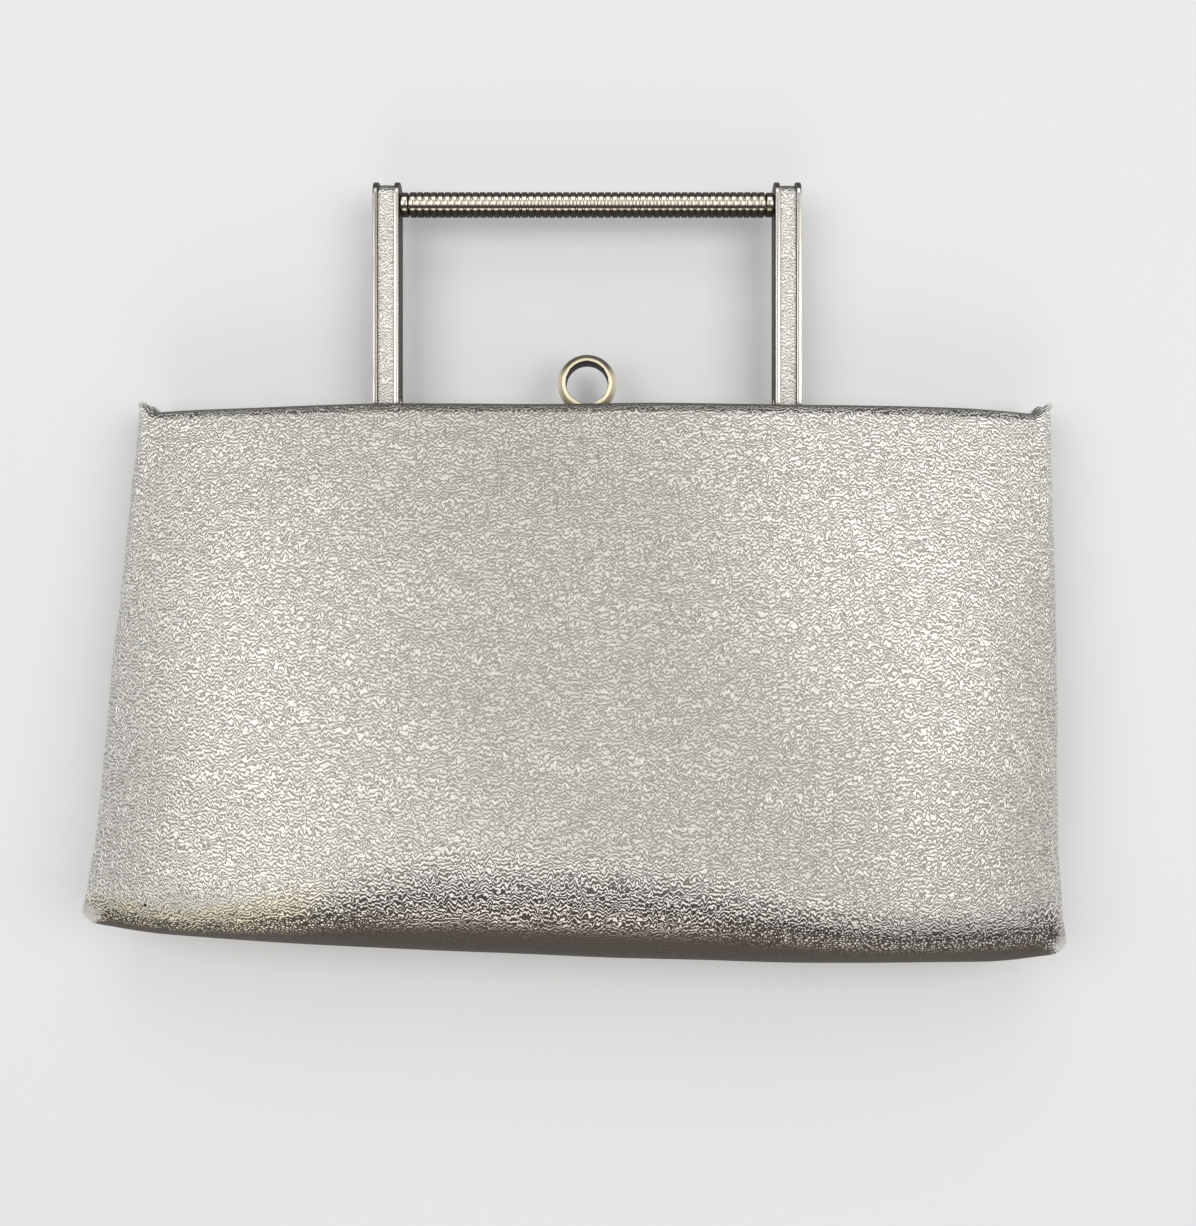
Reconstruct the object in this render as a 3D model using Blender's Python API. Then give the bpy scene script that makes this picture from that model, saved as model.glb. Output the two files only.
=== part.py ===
"""Framed evening clutch with a flip handle and a ring clasp, lying on its back.

Metres. +X runs along the bag, +Y from the base towards the handle, and +Z out of
the front. The origin lies on the flat rest face of the back panel.
"""
import math
from math import cos, pi, radians, sin

import bmesh
import bpy
from mathutils import Matrix, Vector

# Sheet goods and clearances
LEATHER = 0.0015
LINING = 0.0006
BOARD = 0.0012
GUSSET = 0.0010
GAP = 0.0003
OVERRUN = 0.0020

# Outline of the soft body
HALF_WIDTH_BOTTOM = 0.1212
HALF_WIDTH_TOP = 0.11685
LEAN_BOTTOM = -0.0028
LEAN_TOP = 0.0022
TOP_Y = 0.0685
TOP_CROWN = 0.0024
BASE_Y = -0.0729
BASE_BOW = 0.0050
BASE_SKEW = 0.0042

# Depth of the soft body from back to front
DEPTH_BOTTOM = 0.0400
DEPTH_TOP = 0.0240
SEAM_DEPTH_BOTTOM = 0.0220
SEAM_DEPTH_TOP = 0.0130
SEAM_RISE = 0.0050
TOP_ROLL = 0.0050
SEAM_TOP_ROLL = 0.0030
MOUTH_DIP = 0.0013
FRONT_FALL_POWER = 1.6
SEAM_POWER = 2.5
CROWN_POWER = 3
FLAT_SHARE = 0.55

# Pinched corner tips
TIP_RISE = 0.0023
TIP_OUT = 0.0014
TIP_START_SHARE = 0.965
TIP_POWER = 1.5
TIP_PLACE_SHARES = (3.72, 6.0)
TIP_SPREAD_SHARES = (0.35, 0.55)

# Hinged metal frame under the leather
FRAME_INSET = 0.00835
RAIL_SHEET = 0.0012
RAIL_DEPTH = 0.00435
RAIL_HEIGHT = 0.0100
LEG_WIDTH = 0.0060
INNER_CORNER = 0.0020
HINGE_DROP = 0.0441
EYE_RADIUS = 0.0040
EYE_CLEARANCE = 0.0017
RIVET_RADIUS = 0.0012
RIVET_HEAD_RADIUS = 0.0024
RIVET_HEAD_HEIGHT = 0.0008

# Leather that folds when the frame opens
CREASE_ABOVE = 0.0155
CREASE_BELOW = 0.0063
LOWER_FOLD = 0.0030

# Flip handle
ARM_SPACING = 0.1040
ARM_WIDTH = 0.0068
ARM_DEPTH = 0.0080
ARM_PLATE = 0.0013
ARM_REACH = 0.0571
PIVOT_CLEARANCE = 0.0006
CORE_DEPTH = 0.0044
INLAY = 0.0010
INLAY_TUCK = 0.0010
CROSSBAR_DROP = 0.0057
ROD_RADIUS = 0.0012
ROD_SEAT = 0.0015
SLEEVE_RADIUS = 0.0032
RIB_PITCH = 0.0018
RIB_GROOVE = 0.0004
GROOVE_SHARE = 0.32
FERRULE_LENGTH = 0.0018
FERRULE_RADIUS = 0.0031
PIVOT_PIN_RADIUS = 0.0010
LUG_RADIUS = 0.0022
LUG_WIDTH = 0.0035
TONGUE = 0.0014
TONGUE_SHORT = 0.0015
NOTCH_SIDE = 0.0006
NOTCH_REACH = 0.0014

# Ring clasp
RING_RADIUS = 0.0074
RING_BORE_RADIUS = 0.00526
RING_DEPTH = 0.0080
RING_BEAD = 0.0008
RING_RISE = 0.0086
LEVER_SHEET = 0.0012
LEVER_WIDTH = 0.0040
LEVER_EYE_RADIUS = 0.0020
LEVER_DROP = 0.0054
CLASP_PIN_RADIUS = 0.0007
HOOK_SHEET = 0.0015
HOOK_ABOVE = 0.0004
HOOK_LIP = 0.0010
HOOK_TIP = 0.00105
WINDOW_CLEARANCE = 0.0006
BRACKET_SHEET = 0.0010
BRACKET_HALF = 0.0080
BRACKET_EAR = 0.0012
BRACKET_EAR_RISE = 0.0017
SPRING_SHEET = 0.0004
SPRING_WIDTH = 0.0030
SPRING_REACH_SHARE = 1.7
CATCH_HALF = 0.0065
TILT_ANGLE = 12.0

# Places worked out from the sizes above
MOUTH_Z = DEPTH_TOP / 2
RAIL_TOP = TOP_Y - MOUTH_DIP - LEATHER - GAP
FRAME_HALF = HALF_WIDTH_TOP - FRAME_INSET
HINGE_Y = RAIL_TOP - HINGE_DROP
PIVOT_Y = RAIL_TOP + ARM_DEPTH / 2 + PIVOT_CLEARANCE
ARM_INNER_X = ARM_SPACING / 2 - ARM_WIDTH / 2
CROSSBAR_Y = PIVOT_Y + ARM_REACH - CROSSBAR_DROP
RING_Y = RAIL_TOP + RING_RISE
CLASP_Y = RAIL_TOP - LEVER_DROP
MATING = GAP / 2
LEVER_Z = MOUTH_Z + MATING + RAIL_SHEET + GAP + LEVER_SHEET / 2
LINING_DEPTH = LEATHER + GAP + BOARD + GAP

# Sampling of the soft surfaces
COLUMN_SHARES = (0.0, 0.275, 0.55, 0.7, 0.8, 0.88, 0.94, 0.965, 0.985, 1.0)
GUSSET_SHARE = 0.982
GUSSET_TURN_SHARES = (0.07, 0.46)
BOARD_SHARE = 0.86
LINING_SHARE = 0.93
POCKET_SHARE = 0.5
POCKET_HEIGHT_SHARES = (0.38, 0.86)
BOARD_HEIGHT_SHARES = (0.08, 0.96)
BASE_TURN_SHARES = (0.10, 0.86)
LINING_TOP_SHARE = 0.12
ROUND = 20
SLEEVE_ROUND = 14

MATERIALS = {
    "metallic_leather": ((0.66, 0.63, 0.57), 0.38, 0.85),
    "champagne_metal": ((0.78, 0.72, 0.60), 0.22, 1.0),
    "frame_metal": ((0.70, 0.62, 0.44), 0.35, 1.0),
    "spring_steel": ((0.55, 0.55, 0.56), 0.30, 1.0),
    "lining_cloth": ((0.60, 0.55, 0.46), 0.80, 0.0),
    "grey_board": ((0.42, 0.40, 0.37), 0.95, 0.0),
}


def clear_scene():
    for item in list(bpy.data.objects):
        bpy.data.objects.remove(item, do_unlink=True)


def material(name):
    found = bpy.data.materials.get(name)
    if found:
        return found
    colour, roughness, metallic = MATERIALS[name]
    made = bpy.data.materials.new(name)
    made.use_nodes = True
    shader = made.node_tree.nodes["Principled BSDF"]
    shader.inputs["Base Color"].default_value = (*colour, 1)
    shader.inputs["Roughness"].default_value = roughness
    shader.inputs["Metallic"].default_value = metallic
    return made


def lerp(start, end, share):
    return start + (end - start) * share


def spread(start, end, count):
    """Evenly spaced values from start to end, both included."""
    return [lerp(start, end, index / (count - 1)) for index in range(count)]


def finish_object(name, bm, finish, smooth_angle=35.0):
    """Turn a bmesh into a named object with its own copy of a finish."""
    bmesh.ops.recalc_face_normals(bm, faces=bm.faces)
    mesh = bpy.data.meshes.new(name)
    bm.to_mesh(mesh)
    bm.free()
    mesh.shade_smooth()
    mesh.set_sharp_from_angle(angle=radians(smooth_angle))
    own = material(finish).copy()
    own.name = name + "_finish"
    mesh.materials.append(own)
    made = bpy.data.objects.new(name, mesh)
    bpy.context.scene.collection.objects.link(made)
    return made


def hold(pieces, name, place):
    """Parent pieces to an empty that stands on their joint's axis."""
    empty = bpy.data.objects.new(name, None)
    empty.location = place
    bpy.context.scene.collection.objects.link(empty)
    for piece in pieces:
        piece.parent = empty
        piece.matrix_parent_inverse = Matrix.Translation(-Vector(place))


def hide_tool(tool):
    tool.hide_render = True
    tool.display_type = "WIRE"


def combine(target, tool, operation):
    """Join a helper shape to a target, or cut it away, with an exact Boolean."""
    change = target.modifiers.new(tool.name, "BOOLEAN")
    change.operation = operation
    change.solver = "EXACT"
    change.object = tool
    hide_tool(tool)


def axis_place(axis, along, first, second):
    """A point from a distance along an axis and two distances across it."""
    if axis == "X":
        return Vector((along, first, second))
    if axis == "Y":
        return Vector((first, along, second))
    return Vector((first, second, along))


def prism(name, outline, axis, start, end, finish):
    """Extrude a closed outline, given across an axis, from start to end."""
    bm = bmesh.new()
    ring = [bm.verts.new(axis_place(axis, start, *point)) for point in outline]
    face = bm.faces.new(ring)
    grown = bmesh.ops.extrude_face_region(bm, geom=[face])["geom"]
    moved = [part for part in grown if isinstance(part, bmesh.types.BMVert)]
    bmesh.ops.translate(bm, verts=moved, vec=axis_place(axis, end - start, 0, 0))
    return finish_object(name, bm, finish)


def block(name, low, high, finish):
    outline = [(low[1], low[2]), (high[1], low[2]), (high[1], high[2]), (low[1], high[2])]
    return prism(name, outline, "X", low[0], high[0], finish)


def turned(name, profile, axis, centre, finish, segments=ROUND, closed=False):
    """Spin (radius, along) points about an axis that passes through centre."""
    bm = bmesh.new()
    verts = [bm.verts.new(axis_place(axis, along, radius, 0)) for radius, along in profile]
    edges = [bm.edges.new(pair) for pair in zip(verts, verts[1:])]
    if closed:
        edges.append(bm.edges.new((verts[-1], verts[0])))
    direction = axis_place(axis, 1, 0, 0)
    bmesh.ops.spin(bm, geom=verts + edges, cent=(0, 0, 0), axis=direction,
                   angle=2 * pi, steps=segments, use_merge=True)
    bmesh.ops.remove_doubles(bm, verts=bm.verts, dist=GAP / 100)
    bmesh.ops.translate(bm, verts=bm.verts, vec=centre)
    return finish_object(name, bm, finish)


def rod(name, axis, centre, radius, start, end, finish, segments=ROUND):
    profile = [(0, start), (radius, start), (radius, end), (0, end)]
    return turned(name, profile, axis, centre, finish, segments)


def arc(centre, radius, start, end, count):
    """Points on a circle, with angles in degrees."""
    angles = [radians(angle) for angle in spread(start, end, count)]
    return [(centre[0] + radius * cos(a), centre[1] + radius * sin(a)) for a in angles]


def seam_share(u):
    """0 over the flat middle of the bag and 1 at its side seams."""
    return (max(0.0, abs(u) - FLAT_SHARE) / (1 - FLAT_SHARE)) ** SEAM_POWER


def tip_share(u):
    """0 everywhere but at the pinched corners."""
    return (max(0.0, abs(u) - TIP_START_SHARE) / (1 - TIP_START_SHARE)) ** TIP_POWER


def corner_share(v):
    """1 where the front meets the base and the top, and 0 between them."""
    places = zip(TIP_PLACE_SHARES, TIP_SPREAD_SHARES)
    return max(max(0.0, 1 - abs(v - place) / reach) for place, reach in places)


def section_sizes(u):
    """Sizes of the bag's section at u, which runs from -1 to 1 across it."""
    share = seam_share(u)
    back = SEAM_RISE * share
    deep = lerp(DEPTH_BOTTOM, SEAM_DEPTH_BOTTOM, share)
    thin = lerp(DEPTH_TOP, SEAM_DEPTH_TOP, share)
    roll = lerp(TOP_ROLL, SEAM_TOP_ROLL, share)
    top = TOP_Y - TOP_CROWN * abs(u) ** CROWN_POWER + TIP_RISE * tip_share(u)
    base = BASE_Y + BASE_BOW * share
    return back, deep, thin, roll, top, base


def section_point(u, v):
    """Height and depth on the section's outside.

    v counts its stretches: 0 back lip, 1 back top roll, 2 flat back, 3 base roll,
    4 front, 5 front top roll, 6 front lip, and 7 is the front edge of the mouth.
    """
    back, deep, thin, roll, top, base = section_sizes(u)
    turn = deep / 2
    turn_y = base + turn
    slope = math.atan(FRONT_FALL_POWER * (deep - thin) / (top - turn_y))
    stretch = min(int(v), 6)
    t = v - stretch
    front_crest = back + thin - roll
    if stretch == 0:
        rise = sin(t * pi / 2)
        return top - MOUTH_DIP * (1 - rise), lerp(MOUTH_Z - MATING, back + roll, t)
    if stretch == 1:
        angle = t * pi / 2
        return top - roll + roll * cos(angle), back + roll - roll * sin(angle)
    if stretch == 2:
        return lerp(top - roll, turn_y, t), back
    if stretch == 3:
        return turn_y - turn * sin(t * pi), back + turn - turn * cos(t * pi)
    if stretch == 4:
        end_y = top - roll + roll * sin(slope)
        end_z = front_crest + roll * cos(slope)
        fall = back + deep - end_z
        return lerp(turn_y, end_y, t), back + deep - fall * t ** FRONT_FALL_POWER
    if stretch == 5:
        angle = lerp(slope, pi / 2, t)
        return top - roll + roll * sin(angle), front_crest + roll * cos(angle)
    rise = sin((1 - t) * pi / 2)
    return top - MOUTH_DIP * (1 - rise), lerp(front_crest, MOUTH_Z + MATING, t)


def wrap_point(u, v):
    """A point on the outside of the leather wrapper."""
    y, z = section_point(u, v)
    height = (y - BASE_Y) / (TOP_Y - BASE_Y)
    half = lerp(HALF_WIDTH_BOTTOM, HALF_WIDTH_TOP, height)
    lean = lerp(LEAN_BOTTOM, LEAN_TOP, height)
    out = TIP_OUT * tip_share(u) * corner_share(v)
    x = lean + u * half + math.copysign(out, u)
    return Vector((x, y - BASE_SKEW * u * (1 - height), z))


def wrap_normal(u, v):
    step = 0.01
    across = wrap_point(u + step, v) - wrap_point(u - step, v)
    around = wrap_point(u, min(v + step, 7)) - wrap_point(u, max(v - step, 0))
    return across.cross(around).normalized()


def inside_point(u, v, depth):
    """A point at a depth under the outside of the wrapper."""
    return wrap_point(u, v) - wrap_normal(u, v) * depth


def grid_solid(name, outer, inner, finish):
    """A closed sheet between two grids of points."""
    bm = bmesh.new()
    rows, columns = len(outer), len(outer[0])
    top = [[bm.verts.new(point) for point in row] for row in outer]
    low = [[bm.verts.new(point) for point in row] for row in inner]
    for i in range(rows - 1):
        for j in range(columns - 1):
            bm.faces.new((top[i][j], top[i][j + 1], top[i + 1][j + 1], top[i + 1][j]))
            bm.faces.new((low[i][j], low[i + 1][j], low[i + 1][j + 1], low[i][j + 1]))
    rim = [(0, j) for j in range(columns)]
    rim += [(i, columns - 1) for i in range(1, rows)]
    rim += [(rows - 1, j) for j in range(columns - 2, -1, -1)]
    rim += [(i, 0) for i in range(rows - 2, 0, -1)]
    for here, there in zip(rim, rim[1:] + rim[:1]):
        bm.faces.new((top[here[0]][here[1]], low[here[0]][here[1]],
                      low[there[0]][there[1]], top[there[0]][there[1]]))
    return finish_object(name, bm, finish)


def columns_to(limit):
    """Column places across the bag, out to a share of its half width."""
    right = [share for share in COLUMN_SHARES if share < limit] + [limit]
    return [-share for share in reversed(right) if share > 0] + right


def layer(name, limit, rows, depth, thickness, finish):
    """A sheet that follows the wrapper at a depth under its outside."""
    columns = columns_to(limit)
    outer = [[inside_point(u, v, depth) for u in columns] for v in rows]
    inner = [[inside_point(u, v, depth + thickness) for u in columns] for v in rows]
    return grid_solid(name, outer, inner, finish)


def front_v(y):
    """The wrapper's v on the middle of the front at a height."""
    low = section_point(0, 4)[0]
    high = section_point(0, 5)[0]
    return 4 + (y - low) / (high - low)


def rows_over(*stops):
    """v values from (v, count) stops, with no value twice."""
    rows = [stops[0][0]]
    for (start, _), (end, count) in zip(stops, stops[1:]):
        rows += spread(start, end, count + 1)[1:]
    return rows


def mouth_notch(name, centre_x, half_width, back_reach, front_reach):
    """A tool that clears the leather lips round a piece in the mouth."""
    low = (centre_x - half_width, RAIL_TOP - GAP / 3, MOUTH_Z - back_reach)
    high = (centre_x + half_width, TOP_Y + OVERRUN, MOUTH_Z + front_reach)
    return block(name, low, high, "metallic_leather")


def notch_leather(back, front):
    """Open both leather lips for the handle's arms and for the ring."""
    reach = ARM_DEPTH / 2 + NOTCH_REACH
    half = ARM_WIDTH / 2 + NOTCH_SIDE
    for side, place in (("left", -ARM_SPACING / 2), ("right", ARM_SPACING / 2)):
        tool = mouth_notch(side + "_arm_notch", place, half, reach, reach)
        combine(back, tool, "DIFFERENCE")
        combine(front, tool, "DIFFERENCE")
    drop = TOP_Y + NOTCH_SIDE - (RING_Y - RING_RADIUS)
    ring_half = math.sqrt(RING_RADIUS ** 2 - (RING_RADIUS - drop) ** 2) + NOTCH_SIDE
    swing = (TOP_Y - CLASP_Y) * sin(radians(TILT_ANGLE))
    back_reach = RING_DEPTH / 2 + NOTCH_SIDE
    tool = mouth_notch("ring_notch", 0, ring_half, back_reach, back_reach + swing)
    combine(back, tool, "DIFFERENCE")
    combine(front, tool, "DIFFERENCE")


def leather_panels():
    """The wrapper as a back, a fixed lower front, a crease and a moving front."""
    split = GAP / (section_point(0, 5)[0] - section_point(0, 4)[0])
    crease_top = front_v(HINGE_Y + CREASE_ABOVE)
    crease_low = front_v(HINGE_Y - CREASE_BELOW)
    base_gap = GAP / (pi * DEPTH_BOTTOM / 2)
    back = layer("back_panel", 1, rows_over((0, 0), (1, 3), (2, 4), (3, 5)), 0,
                 LEATHER, "metallic_leather")
    layer("front_panel_lower", 1, rows_over((3 + base_gap, 0), (4, 10), (crease_low, 4)), 0,
          LEATHER, "metallic_leather")
    layer("front_panel_crease", 1, rows_over((crease_low + split, 0), (crease_top - split, 4)),
          0, LEATHER, "metallic_leather")
    front = layer("front_panel_upper", 1, rows_over((crease_top, 0), (5, 3), (6, 4), (7, 3)),
                  0, LEATHER, "metallic_leather")
    notch_leather(back, front)


def fold_reach(y, edge_x):
    """How far the gusset folds inwards at a height."""
    above = abs(edge_x) - GUSSET - FRAME_HALF - GAP
    share = min(1.0, max(0.0, (y - BASE_Y) / (HINGE_Y - BASE_Y)))
    return lerp(LOWER_FOLD, above, share ** 2)


def gusset_rows(side, pairs, columns=7):
    """Outer points of a gusset between the wrapper's back and front edges."""
    u = side * GUSSET_SHARE
    rows = []
    for v_back, v_front in pairs:
        start = inside_point(u, v_back, LEATHER + GAP)
        end = inside_point(u, v_front, LEATHER + GAP)
        row = []
        for t in spread(0, 1, columns):
            point = start.lerp(end, t)
            reach = fold_reach(point.y, point.x)
            point.x -= side * reach * sin(pi * t)
            row.append(point)
        rows.append(row)
    return rows


def gusset(name, side, pairs):
    outer = gusset_rows(side, pairs)
    shift = Vector((side * GUSSET, 0, 0))
    inner = [[point - shift for point in row] for row in outer]
    return grid_solid(name, outer, inner, "metallic_leather")


def straight_pairs(high_y, low_y, count):
    """Matching v values on the back and the front at the seams, by height."""
    return [(seam_back_v(y), seam_front_v(y)) for y in spread(high_y, low_y, count)]


def seam_back_v(y):
    high = section_point(GUSSET_SHARE, 2)[0]
    low = section_point(GUSSET_SHARE, 3)[0]
    return min(3.0, max(2.0, 2 + (high - y) / (high - low)))


def seam_front_v(y):
    low = section_point(GUSSET_SHARE, 4)[0]
    high = section_point(GUSSET_SHARE, 5)[0]
    return min(5.0, max(4.0, 4 + (y - low) / (high - low)))


def gussets():
    """Side walls, fixed below the hinges and folding above them."""
    split_y = HINGE_Y - CREASE_BELOW
    fold_top = section_point(GUSSET_SHARE, 5)[0] - SEAM_TOP_ROLL
    turn_y = section_point(GUSSET_SHARE, 3)[0]
    low_end = [(3 + turn, 4 - turn) for turn in spread(*GUSSET_TURN_SHARES, 6)]
    for side, label in ((-1, "left"), (1, "right")):
        gusset(label + "_gusset_fold", side, straight_pairs(fold_top, split_y, 6))
        gusset(label + "_gusset", side, straight_pairs(split_y - GAP, turn_y, 5) + low_end)


def boards_and_lining():
    """Stiffeners between leather and lining, the lining and its slip pocket."""
    low, high = BOARD_HEIGHT_SHARES
    depth = LEATHER + GAP
    layer("back_board", BOARD_SHARE, rows_over((2 + low, 0), (2 + high, 3)), depth, BOARD,
          "grey_board")
    start, end = BASE_TURN_SHARES
    layer("base_board", BOARD_SHARE, rows_over((3 + start, 0), (3 + end, 7)), depth, BOARD,
          "grey_board")
    top = LINING_TOP_SHARE
    layer("lining_pouch", LINING_SHARE, rows_over((2 + top, 0), (3, 4), (4, 8), (5 - top, 6)),
          LINING_DEPTH, LINING, "lining_cloth")
    top, low = POCKET_HEIGHT_SHARES
    layer("slip_pocket", POCKET_SHARE, rows_over((2 + top, 0), (2 + low, 2)),
          LINING_DEPTH + LINING + GAP, LINING, "lining_cloth")


def rail_top_at(x):
    """Height of the arched top rail."""
    return RAIL_TOP - TOP_CROWN * abs(x / HALF_WIDTH_TOP) ** CROWN_POWER


def rail_stations(leg_end):
    """Places, outward directions and web widths along the frame's outline."""
    corner = RAIL_HEIGHT + INNER_CORNER
    corner_x = FRAME_HALF - corner
    corner_y = rail_top_at(corner_x) - corner
    right = []
    for x in spread(0, corner_x, 6):
        right.append((Vector((x, rail_top_at(x))), Vector((0, 1)), RAIL_HEIGHT))
    for share in spread(0, 1, 6)[1:]:
        angle = (1 - share) * pi / 2
        out = Vector((cos(angle), sin(angle)))
        place = Vector((corner_x, corner_y)) + out * corner
        right.append((place, out, lerp(RAIL_HEIGHT, LEG_WIDTH, share)))
    right.append((Vector((FRAME_HALF, leg_end)), Vector((1, 0)), LEG_WIDTH))
    mirror = Vector((-1, 1))
    left = [(place * mirror, out * mirror, width) for place, out, width in right[1:]]
    return left[::-1] + right


def frame_rail(name, side, leg_end):
    """A bent sheet frame with a flange outwards, on one side of the mouth."""
    bm = bmesh.new()
    rings = []
    mate = MOUTH_Z + side * MATING
    for place, out, width in rail_stations(leg_end):
        steps = [(0, RAIL_DEPTH), (0, 0), (width, 0), (width, RAIL_SHEET),
                 (RAIL_SHEET, RAIL_SHEET), (RAIL_SHEET, RAIL_DEPTH)]
        ring = []
        for inward, away in steps:
            spot = place - out * inward
            ring.append(bm.verts.new((spot.x, spot.y, mate + side * away)))
        rings.append(ring)
    for here, there in zip(rings, rings[1:]):
        for k in range(len(here)):
            following = (k + 1) % len(here)
            bm.faces.new((here[k], here[following], there[following], there[k]))
    bm.faces.new(rings[0])
    bm.faces.new(rings[-1][::-1])
    return finish_object(name, bm, "frame_metal")


def hinge_eye(name, side, inner_x, mirror):
    """A tab that carries one rail's leg round the hinge rivet."""
    root = EYE_RADIUS + EYE_CLEARANCE + RAIL_HEIGHT / 2
    near = MATING + RAIL_SHEET / 3
    reach = math.degrees(math.asin(near / EYE_RADIUS))
    outline = [(HINGE_Y + root, MOUTH_Z + side * near)]
    outline += [(HINGE_Y + y, MOUTH_Z - side * z)
                for y, z in arc((0, 0), EYE_RADIUS, -reach, 270, 15)]
    outline.append((HINGE_Y + root, MOUTH_Z + side * EYE_RADIUS))
    start, end = sorted((mirror * inner_x, mirror * (inner_x + RAIL_SHEET)))
    return prism(name, outline, "X", start, end, "frame_metal")


def frame_half(name, side, eye_x):
    """One rail with its two hinge eyes, bored for the rivets."""
    leg_end = HINGE_Y + EYE_RADIUS + EYE_CLEARANCE
    rail = frame_rail(name, side, leg_end)
    for mirror, label in ((-1, "left"), (1, "right")):
        eye = hinge_eye(f"{name}_{label}_eye", side, eye_x, mirror)
        combine(rail, eye, "UNION")
    for mirror, label in ((-1, "left"), (1, "right")):
        start, end = sorted((mirror * (eye_x - OVERRUN), mirror * (eye_x + RAIL_SHEET + OVERRUN)))
        bore = rod(f"{name}_{label}_bore", "X", (0, HINGE_Y, MOUTH_Z), RIVET_RADIUS + GAP,
                   start, end, "frame_metal")
        combine(rail, bore, "DIFFERENCE")
    return rail


def hinge_rivet(name, mirror, first_x, last_x):
    """A headed rivet through both hinge eyes on one side."""
    low = first_x - GAP
    high = last_x + GAP
    profile = [(0, low - RIVET_HEAD_HEIGHT), (RIVET_HEAD_RADIUS, low - RIVET_HEAD_HEIGHT),
               (RIVET_HEAD_RADIUS, low), (RIVET_RADIUS, low), (RIVET_RADIUS, high),
               (RIVET_HEAD_RADIUS, high), (RIVET_HEAD_RADIUS, high + RIVET_HEAD_HEIGHT),
               (0, high + RIVET_HEAD_HEIGHT)]
    profile = [(radius, mirror * along) for radius, along in profile]
    return turned(name, profile, "X", (0, HINGE_Y, MOUTH_Z), "frame_metal")


def window(name, half_width, low_y, high_y, low_z, high_z):
    return block(name, (-half_width, low_y, low_z), (half_width, high_y, high_z), "frame_metal")


def frame_pieces():
    """Both rails with their eyes, the rivets, and the openings for the clasp."""
    back_eye = FRAME_HALF - LEG_WIDTH + (LEG_WIDTH - 2 * RAIL_SHEET - GAP) / 3
    front_eye = back_eye + RAIL_SHEET + GAP
    back = frame_half("back_rail", -1, back_eye)
    front = frame_half("front_rail", 1, front_eye)
    hinge_rivet("left_hinge_rivet", -1, back_eye, front_eye + RAIL_SHEET)
    hinge_rivet("right_hinge_rivet", 1, back_eye, front_eye + RAIL_SHEET)
    pin_half = LEVER_WIDTH / 2 + GAP + BRACKET_EAR + WINDOW_CLEARANCE
    low = CLASP_Y - LEVER_EYE_RADIUS - WINDOW_CLEARANCE
    high = CLASP_Y + LEVER_EYE_RADIUS + WINDOW_CLEARANCE
    through = MATING + RAIL_SHEET + GAP / 2
    tool = window("clasp_window", pin_half, low, high, MOUTH_Z - through, MOUTH_Z + through)
    combine(back, tool, "DIFFERENCE")
    combine(front, tool, "DIFFERENCE")
    stem_half = LEVER_WIDTH / 2 + WINDOW_CLEARANCE
    tool = window("stem_notch", stem_half, RAIL_TOP - RAIL_SHEET - WINDOW_CLEARANCE,
                  RAIL_TOP + OVERRUN, LEVER_Z - LEVER_SHEET / 2 - GAP / 2,
                  MOUTH_Z + MATING + RAIL_DEPTH + OVERRUN)
    combine(front, tool, "DIFFERENCE")
    return back


def handle_lug(name, centre_x, back_rail):
    """A fork plate that carries one arm, tucked through the back rail's flange."""
    tongue_z = MOUTH_Z - MATING - RAIL_SHEET - GAP
    back_z = tongue_z - TONGUE
    front_z = MOUTH_Z - GAP
    foot_y = RAIL_TOP - RAIL_HEIGHT + TONGUE_SHORT
    seat_y = RAIL_TOP + GAP
    reach = math.degrees(math.asin(GAP / LUG_RADIUS))
    outline = [(foot_y, tongue_z), (foot_y, back_z), (seat_y + GAP, back_z)]
    outline += arc((PIVOT_Y, MOUTH_Z), LUG_RADIUS, -90, 180 + reach, 13)
    outline += [(seat_y, front_z), (seat_y, tongue_z)]
    half = LUG_WIDTH / 2
    lug = prism(name, outline, "X", centre_x - half, centre_x + half, "frame_metal")
    bore = rod(name + "_bore", "X", (0, PIVOT_Y, MOUTH_Z), PIVOT_PIN_RADIUS + GAP,
               centre_x - half - OVERRUN, centre_x + half + OVERRUN, "frame_metal")
    combine(lug, bore, "DIFFERENCE")
    low = (centre_x - half - GAP, RAIL_TOP - RAIL_SHEET - OVERRUN, back_z - GAP)
    high = (centre_x + half + GAP, RAIL_TOP + OVERRUN, tongue_z + GAP / 2)
    slot = block(name + "_slot", low, high, "frame_metal")
    combine(back_rail, slot, "DIFFERENCE")


def stadium(low_y, high_y, half_depth, count=9):
    """An outline with round ends, centred on the mouth's middle plane."""
    outline = arc((high_y, MOUTH_Z), half_depth, -90, 90, count)
    return outline + arc((low_y, MOUTH_Z), half_depth, 90, 270, count)


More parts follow.
